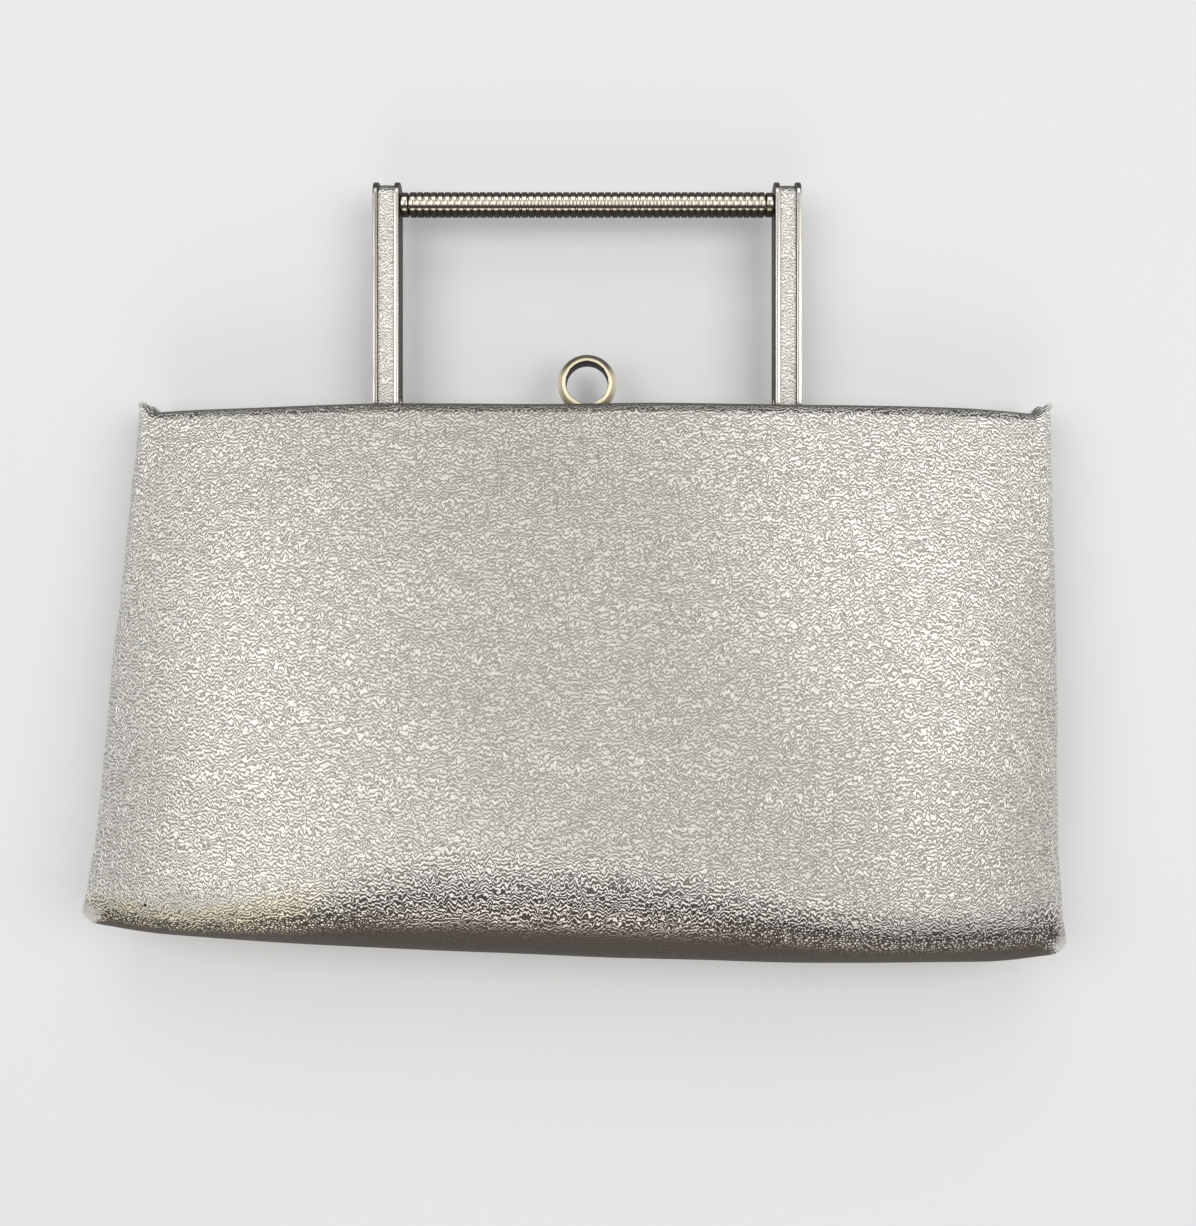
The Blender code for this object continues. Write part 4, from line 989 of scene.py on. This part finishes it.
def sheet_size(rows):
    """Width and length of a sheet laid flat, along its middle lines."""
    middle = rows[len(rows) // 2]
    width = sum((a - b).length for a, b in zip(middle, middle[1:]))
    spine = [row[len(row) // 2] for row in rows]
    return width, sum((a - b).length for a, b in zip(spine, spine[1:]))


def sheet_area(rows):
    """A sheet's area, from the parallelogram at each cell of its grid."""
    total = 0.0
    for here, there in zip(rows, rows[1:]):
        for k in range(len(here) - 1):
            total += (here[k + 1] - here[k]).cross(there[k] - here[k]).length
    return total


def add_lining(name, rows, node="lining_pouch"):
    """A cloth sheet; its flat size and area are worked out but not kept."""
    bm = bmesh.new()
    add_sheet(bm, rows, LINING)
    cloth = finished(name, bm, [lining_satin])
    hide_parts(node)
    sheet_size(rows)
    sheet_area(rows)
    return cloth


tuck_y = RAIL_TOP - RAIL_HEIGHT + RAIL_TUCK
back_v_values = steps(v_at_height(tuck_y, -1), 3.0, 34)[:-1] + steps(3.0, LINING_SEAM[0], 16)
front_v_values = steps(LINING_SEAM[1], 4.0, 16)[:-1] + steps(4.0, v_at_height(tuck_y, 1), 36)
lining_back = add_lining("lining_back", lining_rows(LINING_SHARE, back_v_values, -1))
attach(lining_back, "bag")
lining_front = add_lining("lining_front", lining_rows(LINING_SHARE, front_v_values, 1))
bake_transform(lining_front)
for side, label in ((-1, "left"), (1, "right")):
    low = section_point(LINING_SHARE, 3)[0]
    pairs = pairs_down(LINING_SHARE, LINING_SIDE_TOP, low, LINING_SIDE_ROWS, LINING_LOW_TURNS)
    rows = folded_wall(side, LINING_SHARE, pairs, LINING_DEPTH, lambda point: LINING_FOLD,
                       LINING_SIDE_COLUMNS)
    wall = add_lining(label + "_lining_side", rows)
    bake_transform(wall)

# %% [markdown]
# ## Pocket
# A slip pocket is a rectangle of lining, sewn on three sides. Its hem is folded double, so
# the top edge is thicker, and the mouth bows forward by a millimetre or two because the
# patch is cut a little wider than the place it covers.

# %% Slip pocket
POCKET_SHARE, POCKET_TOP, POCKET_LOW = 0.5, 0.38, 0.86
POCKET_BOW, BOW_DOWN_POWER, BOW_SIDE_POWER = 0.0016, 1.5, 0.8
WRINKLE, WRINKLE_WIDTH, WRINKLE_LENGTH, WRINKLE_SLICE = 0.00022, 0.016, 0.030, 2.0
HEM_DEPTH, HEM_RISE, HEM_STEP = 0.009, 0.0004, 0.0012
POCKET_ROWS, POCKET_COLUMNS = 44, 49


def pocket_point(u, v):
    """The hidden face of the pocket, off the lining and bowed towards its mouth."""
    point = inside_point(u, v, LINING_DEPTH + LINING + GAP)
    down = (v - 2 - POCKET_TOP) / (POCKET_LOW - POCKET_TOP)
    sideways = cos(u / POCKET_SHARE * pi / 2) ** BOW_SIDE_POWER
    bow = POCKET_BOW * (1 - down) ** BOW_DOWN_POWER * sideways
    place = Vector((point.x / WRINKLE_WIDTH, point.y / WRINKLE_LENGTH, WRINKLE_SLICE))
    point.z += bow + abs(WRINKLE * noise.noise(place))
    return point


def hem_rise(rows):
    """Lift the top rows by the thickness of a folded hem."""
    top_y = rows[0][0].y
    for row in rows:
        for point in row:
            point.z += HEM_RISE * smooth((point.y - top_y + HEM_DEPTH) / HEM_STEP + 1)
    return rows


pocket_rows = [[pocket_point(u, v) for u in steps(-POCKET_SHARE, POCKET_SHARE, POCKET_COLUMNS)]
               for v in steps(2 + POCKET_TOP, 2 + POCKET_LOW, POCKET_ROWS)]
slip_pocket = add_lining("slip_pocket_patch", hem_rise(pocket_rows),
                         "slip_pocket")
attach(slip_pocket, "bag")

# %% [markdown]
# ## Turned metal
# The ring, the collars and the handle's pieces are turned or stamped, and every edge on
# them is broken by a small round. A profile spun about an axis makes the turned ones.

# %% Ring and collars
SPUN_SEGMENTS, SPUN_SHARP = 96, 50
RING_RIM, RIM_ROUND, COLLAR_ROUND, COLLAR_SEGMENTS = 0.0006, 0.00020, 0.00035, 56
# Turns about the bar, in degrees from straight up, for its painted shade and painted highlight
# line.
LIT_MIDDLE, LIT_HALF, LIT_FADE = 3, 17, 7
BRIGHT_LINE, LINE_HALF, LINE_EDGE, LINE_SHARE, DARKEST = -36, 4, 1.3, 0.95, 0.97
# The ring gets painted shade on its outside where that turns up towards the bar, off its flat
# rim.
TURNED_UP, OFF_RIM, RING_SHADE = (0.1, 0.6), (RING_RIM * 0.8, 0.0004), 0.9


def spun(name, profile, axis, centre, material, segments=SPUN_SEGMENTS):
    """Spin a closed profile of (radius, along) points about an axis through centre."""
    bm = bmesh.new()
    rings = []
    for k in range(segments):
        angle = 2 * pi * k / segments
        ring = []
        for radius, along in profile:
            first, second = radius * cos(angle), radius * sin(angle)
            spot = (along, first, second) if axis == "X" else (first, second, along)
            ring.append(bm.verts.new(Vector(spot) + Vector(centre)))
        rings.append(ring)
    count = len(profile)
    for k, ring in enumerate(rings):
        after = rings[(k + 1) % segments]
        for i in range(count):
            j = (i + 1) % count
            bm.faces.new((ring[i], ring[j], after[j], after[i]))
    return finished(name, bm, [material], SPUN_SHARP)


def arc_points(centre, radius, start, end, count):
    """Points on a circle, with angles in degrees."""
    return [(centre[0] + radius * cos(turn), centre[1] + radius * sin(turn))
            for turn in map(radians, steps(start, end, count))]


def paint_shade(piece, share, everywhere=None):
    """Mark how much painted shade each vertex gets, from its normal and a share for its place.
    """
    add_mark(piece, "shade", [max(share(vert.normal), everywhere(vert.co) if everywhere else 0)
                              for vert in piece.data.vertices])


def bar_shade(normal):
    """Painted shade on a bar: none on top, a painted highlight along one line below the top, and
    dark elsewhere.
    """
    turn = degrees(atan2(normal.y, normal.z))
    line = LINE_SHARE * smooth(LINE_EDGE - abs(turn - BRIGHT_LINE) / LINE_HALF)
    dark = climb(abs(turn - LIT_MIDDLE), LIT_HALF, LIT_FADE)
    return min(DARKEST, dark * (1 - line))


def add_ring():
    """A straight bore, a flat bright rim front and back, and a bulged outside."""
    half = RING_DEPTH / 2
    shoulder = RING_BORE + RING_RIM
    profile = arc_points((RING_BORE + RIM_ROUND, half - RIM_ROUND), RIM_ROUND, 180, 90, 4)
    for turn in map(radians, steps(90, -90, 25)):
        profile.append((shoulder + (RING_RADIUS - shoulder) * cos(turn), half * sin(turn)))
    profile += arc_points((RING_BORE + RIM_ROUND, RIM_ROUND - half), RIM_ROUND, 270, 180, 4)
    ring = spun("finger_ring", profile, "Z", (0, RING_Y, MOUTH_Z), ring_gold)
    bore = RING_BORE + RIM_ROUND * 0.5
    shares = []
    for vert in ring.data.vertices:
        off_axis = (vert.co.x ** 2 + (vert.co.y - RING_Y) ** 2) ** 0.5
        outside = climb((vert.co.y - RING_Y) / off_axis, *TURNED_UP)
        outside *= climb(off_axis - RING_BORE, *OFF_RIM)
        # Painted shade: the whole bore is dark, and the outside where it turns up.
        shares.append(1.0 if off_axis < bore else outside * RING_SHADE)
    add_mark(ring, "shade", shares)
    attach(ring, "clasp")
    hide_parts("clasp_ring")


def add_collar(side, label):
    """A plain collar at the end of the ribbed bar, with rounded edges."""
    ease = COLLAR_ROUND
    profile = [(ROD_BORE, FERRULE_OUT), (ROD_BORE, FERRULE_IN)]
    profile += arc_points((FERRULE_RADIUS - ease, FERRULE_IN + ease), ease, -90, 0, 5)
    profile += arc_points((FERRULE_RADIUS - ease, FERRULE_OUT - ease), ease, 0, 90, 5)
    collar = spun(label + "_collar", [(r, side * x) for r, x in profile], "X",
                  (0, CROSSBAR_Y, MOUTH_Z), bar_gold, COLLAR_SEGMENTS)
    # Painted shade, as on the bar.
    paint_shade(collar, bar_shade)
    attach(collar, "handle")
    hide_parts(label + "_ferrule")


add_ring()
add_collar(-1, "left")
add_collar(1, "right")

# %% [markdown]
# ## The handle's arms
# Each arm is two stamped plates with round ends on a narrower core, and a strip of the
# bag's own leather lies between the plates, over the arm's end and down its back. The
# plates' rims catch the light as two bright lines, so their rounded edges matter.

# %% Arms and their leather strips
ARM_END_Y = PIVOT_Y + ARM_REACH - ARM_DEPTH / 2
PIN_HOLE, EDGE_ROUND, EDGE_STEPS, LUG_CLEAR, ARM_SHARP = 0.0013, 0.00024, 3, 0.0028, 35
STRIP, STRIP_SINK, STRIP_BITE = 0.0008, 0.00030, 0.00035
INLAY_CROWN, INLAY_TUCK = 0.00016, 0.0010
SWELL, SWELL_SIZE, SWELL_SINK = 0.00010, 0.004, 0.6
STRIP_COLUMNS, OVER_END, OVER_END_SHADE = 13, (0.20, 0.5), 0.62
# Painted shade over the arms' ends, on their inner sides, on the left outer side and, faintly,
# elsewhere.
END_FACING, INNER_FACING = (0.18, 0.32), (0.62, 0.2)
END_SHADE, INNER_SHADE, LEFT_SHADE, LEAST_SHADE = 0.97, 0.93, 0.45, 0.02


def round_ended(radius, low_y, count=22):
    """A round-ended outline in height and depth."""
    top = arc_points((ARM_END_Y, MOUTH_Z), radius, -90, 90, count)
    return top + arc_points((low_y, MOUTH_Z), radius, 90, 270, count)


def add_prism(bm, outline, start, end):
    """Add a closed block to a bmesh: an outline in y and z, drawn out along x."""
    low = [bm.verts.new((start, *point)) for point in outline]
    high = [bm.verts.new((end, *point)) for point in outline]
    bm.faces.new(low[::-1])
    bm.faces.new(high)
    for k in range(len(outline)):
        after = (k + 1) % len(outline)
        bm.faces.new((low[k], low[after], high[after], high[k]))


def baked(piece):
    """Turn a piece with modifiers into a plain mesh."""
    graph = bpy.context.evaluated_depsgraph_get()
    mesh = bpy.data.meshes.new_from_object(piece.evaluated_get(graph))
    piece.modifiers.clear()
    piece.data = mesh
    return piece


def add_arm(side, label):
    """Two drilled plates with eased edges, and the core between them."""
    centre, half = side * ARM_X, ARM_WIDTH / 2
    bm = bmesh.new()
    for start, end in ((-half, ARM_PLATE - half), (half - ARM_PLATE, half)):
        add_prism(bm, round_ended(ARM_DEPTH / 2, PIVOT_Y), centre + start, centre + end)
    arm = finished(label + "_arm_plates", bm, [champagne])
    bm = bmesh.new()
    outline = arc_points((PIVOT_Y, MOUTH_Z), PIN_HOLE, 0, 345, 24)
    add_prism(bm, outline, centre - 2 * half, centre + 2 * half)
    drill = finished(label + "_pin_hole", bm, [champagne])
    hole = arm.modifiers.new("pin_hole", "BOOLEAN")
    hole.operation, hole.solver, hole.object = "DIFFERENCE", "EXACT", drill
    ease = arm.modifiers.new("edges", "BEVEL")
    ease.width, ease.segments, ease.limit_method = EDGE_ROUND, EDGE_STEPS, "ANGLE"
    baked(arm)
    bpy.data.objects.remove(drill)
    core = arc_points((ARM_END_Y, MOUTH_Z), CORE_DEPTH / 2, -90, 90, 20)
    core += [(PIVOT_Y + LUG_CLEAR, MOUTH_Z + CORE_DEPTH / 2),
             (PIVOT_Y + LUG_CLEAR, MOUTH_Z - CORE_DEPTH / 2)]
    bm = bmesh.new()
    bm.from_mesh(arm.data)
    add_prism(bm, core, centre - half + ARM_PLATE, centre + half - ARM_PLATE)
    bmesh.ops.recalc_face_normals(bm, faces=bm.faces)
    bm.to_mesh(arm.data)
    bm.free()
    keep_sharp(arm.data, ARM_SHARP)
    # Painted shade on the faces that turn away from the light.
    outer = LEFT_SHADE if side < 0 else LEAST_SHADE
    paint_shade(arm, lambda n: max(climb(n.y, *END_FACING) * END_SHADE,
                               climb(-side * n.x, *INNER_FACING) * INNER_SHADE),
            lambda place: outer if place.x * side > centre * side else LEAST_SHADE)
    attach(arm, "handle")
    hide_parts(label + "_arm")


def add_arm_strip(side, label):
    """The leather strip, crowned across its width, with painted shade where it turns over the
    end.
    """
    outer = ARM_DEPTH / 2 - STRIP_SINK - STRIP / 2
    half = ARM_WIDTH / 2 - ARM_PLATE + STRIP_BITE - STRIP / 2
    spine = [((y, MOUTH_Z + outer), (0, 1)) for y in steps(PIVOT_Y - INLAY_TUCK, ARM_END_Y, 40)]
    for turn in map(radians, steps(90, -90, 25)[1:]):
        spine.append(((ARM_END_Y + outer * cos(turn), MOUTH_Z + outer * sin(turn)),
                      (cos(turn), sin(turn))))
    spine += [((y, MOUTH_Z - outer), (0, -1))
              for y in steps(ARM_END_Y, PIVOT_Y + ARM_DEPTH / 2, 30)[1:]]
    rows = []
    for (y, z), (out_y, out_z) in spine:
        row = []
        for t in steps(-1, 1, STRIP_COLUMNS):
            x = side * ARM_X + t * half
            swell = (noise.noise(Vector((x, y, z)) / SWELL_SIZE) - SWELL_SINK) * SWELL
            proud = swell - INLAY_CROWN * t ** 4
            row.append(Vector((x, y + out_y * proud, z + out_z * proud)))
        rows.append(row)
    bm = bmesh.new()
    places = add_sheet(bm, rows, STRIP)
    runs = runs_down(rows)
    # The edge mark paints shade where the strip turns over the arm's end.
    marks = [(climb(spine[i][1][0], *OVER_END) * OVER_END_SHADE, runs[i][j])
             for _, i, j in places]
    strip = finished(label + "_arm_strip", bm, [strip_leather])
    for mark, values in zip(("edge", "down"), zip(*marks)):
        add_mark(strip, mark, values)
    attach(strip, "handle")
    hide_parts(label + "_arm_inlay")


for side, label in ((-1, "left"), (1, "right")):
    add_arm(side, label)
    add_arm_strip(side, label)

# %% [markdown]
# ## Shapes that follow a rule
# Equal ribs on a bar and equal stitches along a path are rules, not drawings, so Geometry
# Nodes make them. A small class names the inputs of a tree, runs it on an object and keeps
# the result as a plain mesh.

# %% Geometry Nodes maker


class Recipe(Graph):
    """A Geometry Nodes tree with named inputs and one material."""

    KINDS = {float: "NodeSocketFloat", int: "NodeSocketInt"}

    def __init__(self, name, **sizes):
        super().__init__(bpy.data.node_groups.new(name, "GeometryNodeTree"))
        sockets = self.tree.interface
        sockets.new_socket("Geometry", in_out="INPUT", socket_type="NodeSocketGeometry")
        sockets.new_socket("Geometry", in_out="OUTPUT", socket_type="NodeSocketGeometry")
        self.values = {}
        for label, value in sizes.items():
            kind = self.KINDS[type(value)]
            made = sockets.new_socket(label, in_out="INPUT", socket_type=kind)
            self.values[made.identifier] = value
        self.given = self.tree.nodes.new("NodeGroupInput")
        self.result = self.tree.nodes.new("NodeGroupOutput")

    def size(self, label):
        """One of the tree's own inputs."""
        return Number(self, self.given.outputs[label])

    def vector(self, x=0.0, y=0.0, z=0.0):
        """Three numbers as one vector."""
        return self.out("ShaderNodeCombineXYZ", None, {0: x, 1: y, 2: z})

    def finish_with(self, geometry, material):
        """End the tree in plain geometry that wears a material."""
        real = self.out("GeometryNodeRealizeInstances", None, {0: geometry})
        coated = self.out("GeometryNodeSetMaterial", None, {0: real, "Material": material})
        self.feed(self.result.inputs[0], coated)

    def make(self, name, start=None):
        """Run the tree on an object and keep its result as a plain mesh."""
        piece = bpy.data.objects.new(name, start or bpy.data.meshes.new(name))
        bpy.context.scene.collection.objects.link(piece)
        steps_taken = piece.modifiers.new(name, "NODES")
        steps_taken.node_group = self.tree
        for identifier, value in self.values.items():
            steps_taken[identifier] = value
        baked(piece)
        piece.data.name = name
        keep_sharp(piece.data)
        print(name, "has", len(piece.data.polygons), "faces")
        return piece


# %% [markdown]
# ## The ribbed bar
# The bar that the handle is held by has fifty-one ribs. A rounded rectangle swept round a
# circle is one rib. It is set on the points of a line, and one long, lower ring closes the
# grooves between them. The rib's sizes are inputs of the tree.

# %% Ribbed bar
RIB_COUNT, RIB_SEGMENTS, GROOVE_WIDTH, GROOVE_DEPTH = 51, 60, 0.00022, 0.00042
ROUND_POINTS, RIB_ROUND, TUBE_ROUND = 3, 0.72, 0.3


def ring_of(recipe, low, high, length, ease):
    """A ring about the Z axis with a rounded rectangular section."""
    path = recipe.out("GeometryNodeCurvePrimitiveCircle", {"mode": "RADIUS"},
                      {"Resolution": RIB_SEGMENTS, "Radius": (low + high) * 0.5})
    outline = recipe.out("GeometryNodeCurvePrimitiveQuadrilateral", None,
                         {"Width": high - low, "Height": length})
    rounded = recipe.out("GeometryNodeFilletCurve", {"mode": "POLY"},
                         {"Curve": outline, "Count": ROUND_POINTS, "Radius": ease})
    return recipe.out("GeometryNodeCurveToMesh", None,
                      {"Curve": path, "Profile Curve": rounded})


def ribbed_bar_recipe():
    """Ribs on the points of a line, and a lower tube under them."""
    recipe = Recipe("ribbed_bar", bar_half=SLEEVE_HALF, rib_count=RIB_COUNT,
                    rib_radius=SLEEVE_RADIUS, groove_depth=GROOVE_DEPTH,
                    groove_width=GROOVE_WIDTH, bore=ROD_BORE)
    half, count = recipe.size("bar_half"), recipe.size("rib_count")
    radius, depth = recipe.size("rib_radius"), recipe.size("groove_depth")
    pitch = (half * 2).maths("DIVIDE", half * 2, count)
    first = pitch * 0.5 - half
    root = radius - depth
    rib = ring_of(recipe, root - depth, radius, pitch - recipe.size("groove_width"),
                  depth * RIB_ROUND)
    line = recipe.out("GeometryNodeMeshLine", {"mode": "END_POINTS"},
                      {"Count": count, "Start Location": recipe.vector(first),
                       "Offset": recipe.vector(half - pitch * 0.5)})
    lying = (0, pi / 2, 0)
    ribs = recipe.out("GeometryNodeInstanceOnPoints", None,
                      {"Points": line, "Instance": rib, "Rotation": lying})
    tube = ring_of(recipe, recipe.size("bore"), root, half * 2, depth * TUBE_ROUND)
    laid = recipe.out("GeometryNodeTransform", None, {"Geometry": tube, "Rotation": lying})
    joined = recipe.node("GeometryNodeJoinGeometry", None, {0: ribs})
    recipe.feed(joined.inputs[0], laid)
    placed = recipe.out("GeometryNodeTransform", None,
                        {"Geometry": joined.outputs[0],
                         "Translation": (0, CROSSBAR_Y, MOUTH_Z)})
    recipe.finish_with(placed, bar_gold)
    return recipe


ribbed_bar = ribbed_bar_recipe().make("ribbed_bar")
# Painted shade and one painted highlight line round the bar.
paint_shade(ribbed_bar, bar_shade)
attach(ribbed_bar, "handle")
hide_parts("crossbar_sleeve")

# %% [markdown]
# ## Stitches
# Thread on satin is seen as a row of short raised dashes, so each stitch is a small
# capsule set on a resampled path and turned along it. The rows follow the pocket's three
# sewn sides and its hem.

# %% Stitches
STITCH_PITCH, STITCH_LENGTH, STITCH_RADIUS = 0.0024, 0.0017, 0.00016
STITCH_SEGMENTS, STITCH_RINGS, STITCH_LIFT = 8, 6, 0.4
SEAM_MARGIN, HEM_SEAM, SEAM_UP_POINTS, SEAM_ALONG_POINTS = 0.0012, 0.0066, 60, 120
THREAD_TONES, THREAD_DEPTH = ((0.34, 0.28, 0.20), (0.56, 0.48, 0.37)), 0.00003
TWIST_STRETCH = (5200, 2200, 5200)


def stitch_recipe(material):
    """Stitches along the edges of whatever mesh the tree is given."""
    recipe = Recipe("stitch_row", pitch=STITCH_PITCH, length=STITCH_LENGTH,
                    radius=STITCH_RADIUS)
    path = recipe.out("GeometryNodeMeshToCurve", None,
                      {0: recipe.given.outputs["Geometry"]})
    evenly = recipe.out("GeometryNodeResampleCurve", {"mode": "LENGTH"},
                        {"Curve": path, "Length": recipe.size("pitch")})
    turned = recipe.out("FunctionNodeAlignRotationToVector", {"axis": "Z"},
                        {"Vector": recipe.out("GeometryNodeInputTangent")})
    ball = recipe.out("GeometryNodeMeshUVSphere", None,
                      {"Segments": STITCH_SEGMENTS, "Rings": STITCH_RINGS, "Radius": 1.0})
    radius = recipe.size("radius")
    shape = recipe.vector(radius, radius, recipe.size("length") * 0.5)
    row = recipe.out("GeometryNodeInstanceOnPoints", None,
                     {"Points": evenly, "Instance": ball, "Rotation": turned,
                      "Scale": shape})
    recipe.finish_with(row, material)
    return recipe


def path_mesh(name, *lines):
    """A mesh of bare edges along each line of points."""
    mesh = bpy.data.meshes.new(name)
    points, edges = [], []
    for line in lines:
        edges += [(k, k + 1) for k in range(len(points), len(points) + len(line) - 1)]
        points += line
    mesh.from_pydata(points, edges, [])
    return mesh


def pocket_seams():
    """Round the pocket's three sewn sides, and along its hem."""
    lift = Vector((0, 0, LINING + STITCH_RADIUS * STITCH_LIFT))
    height = TOP_Y - BASE_Y
    side = POCKET_SHARE - SEAM_MARGIN / HALF_WIDTH_BOTTOM
    low = 2 + POCKET_LOW - SEAM_MARGIN / height
    high, hem = (2 + POCKET_TOP + margin / height for margin in (SEAM_MARGIN, HEM_SEAM))
    across = steps(-side, side, SEAM_ALONG_POINTS)
    down = [pocket_point(-side, v) + lift for v in steps(high, low, SEAM_UP_POINTS)]
    along = [pocket_point(u, low) + lift for u in across]
    up = [pocket_point(side, v) + lift for v in steps(low, high, SEAM_UP_POINTS)]
    return down + along[1:-1] + up, [pocket_point(u, hem) + lift for u in across]


def thread_finish():
    """Thread a little darker than the satin, with its twist."""
    finish = Finish("lining_thread", roughness=0.6)
    twist = finish.noise(TWIST_STRETCH, 1.0)
    tone = finish.colour(twist, *THREAD_TONES)
    return finish.wear(Base_Color=tone, Normal=finish.bump(twist, THREAD_DEPTH))


pocket_stitches = stitch_recipe(thread_finish()).make(
    "pocket_stitches", path_mesh("pocket_stitches", *pocket_seams()))
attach(pocket_stitches, "bag")

# %% [markdown]
# ## Floor and studio light
# Metal shows what stands round it, so the lights are large and soft. Two wide boxes stand
# high on the left and the right and leave the middle of the leather a little quieter. A
# cool box behind the handle and a warm one low in front shine on the edges that turn away,
# and the room is dim and even. The pale floor keeps the shadow that seats the bag.

# %% Floor, lights and room
FLOOR_HALF, FLOOR_TONE, FLOOR_MOTTLE = 3.0, 0.78, 0.97
ROOM_TONE, ROOM_STRENGTH = (0.93, 0.96, 1.0), 0.38
# Name, place, size in metres, power in watts and tone of each box.
SOFT_BOXES = (
    ("left_box", (-0.62, 0.18, 1.05), 0.80, 4.9, (1.0, 0.985, 0.96)),
    ("right_box", (0.66, 0.10, 1.05), 0.80, 5.9, (1.0, 0.975, 0.94)),
    ("back_box", (0.0, 0.95, 0.80), 0.60, 2.4, (0.94, 0.97, 1.0)),
    ("front_box", (-0.10, -1.00, 0.60), 0.60, 2.7, (1.0, 0.94, 0.82)),
)


def add_floor():
    """A wide, pale floor with hardly any mottle."""
    finish = Finish("studio_floor", roughness=0.65)
    mottle = finish.noise((3, 3, 3), 3.0)
    tone = finish.colour(mottle, (FLOOR_TONE,) * 3, (FLOOR_TONE * FLOOR_MOTTLE,) * 3)
    bm = bmesh.new()
    bmesh.ops.create_grid(bm, x_segments=2, y_segments=2, size=FLOOR_HALF)
    floor = finished("studio_floor", bm, [finish.wear(Base_Color=tone)])


def add_box_light(name, place, size, power, tone):
    """A square soft box that faces the middle of the bag."""
    data = bpy.data.lights.new(name, "AREA")
    data.shape, data.size, data.energy, data.color = "SQUARE", size, power, tone
    light = bpy.data.objects.new(name, data)
    light.location = place
    light.rotation_euler = (-Vector(place)).to_track_quat("-Z", "Y").to_euler()
    bpy.context.scene.collection.objects.link(light)


add_floor()
for box in SOFT_BOXES:
    add_box_light(*box)
print("Soft boxes:", ", ".join(box[0] for box in SOFT_BOXES))
world = bpy.data.worlds.new("studio_room")
world.use_nodes = True
room = world.node_tree.nodes["Background"].inputs
room["Color"].default_value = (*ROOM_TONE, 1)
room["Strength"].default_value = ROOM_STRENGTH
bpy.context.scene.world = world
bpy.context.scene.view_settings.view_transform = "Standard"
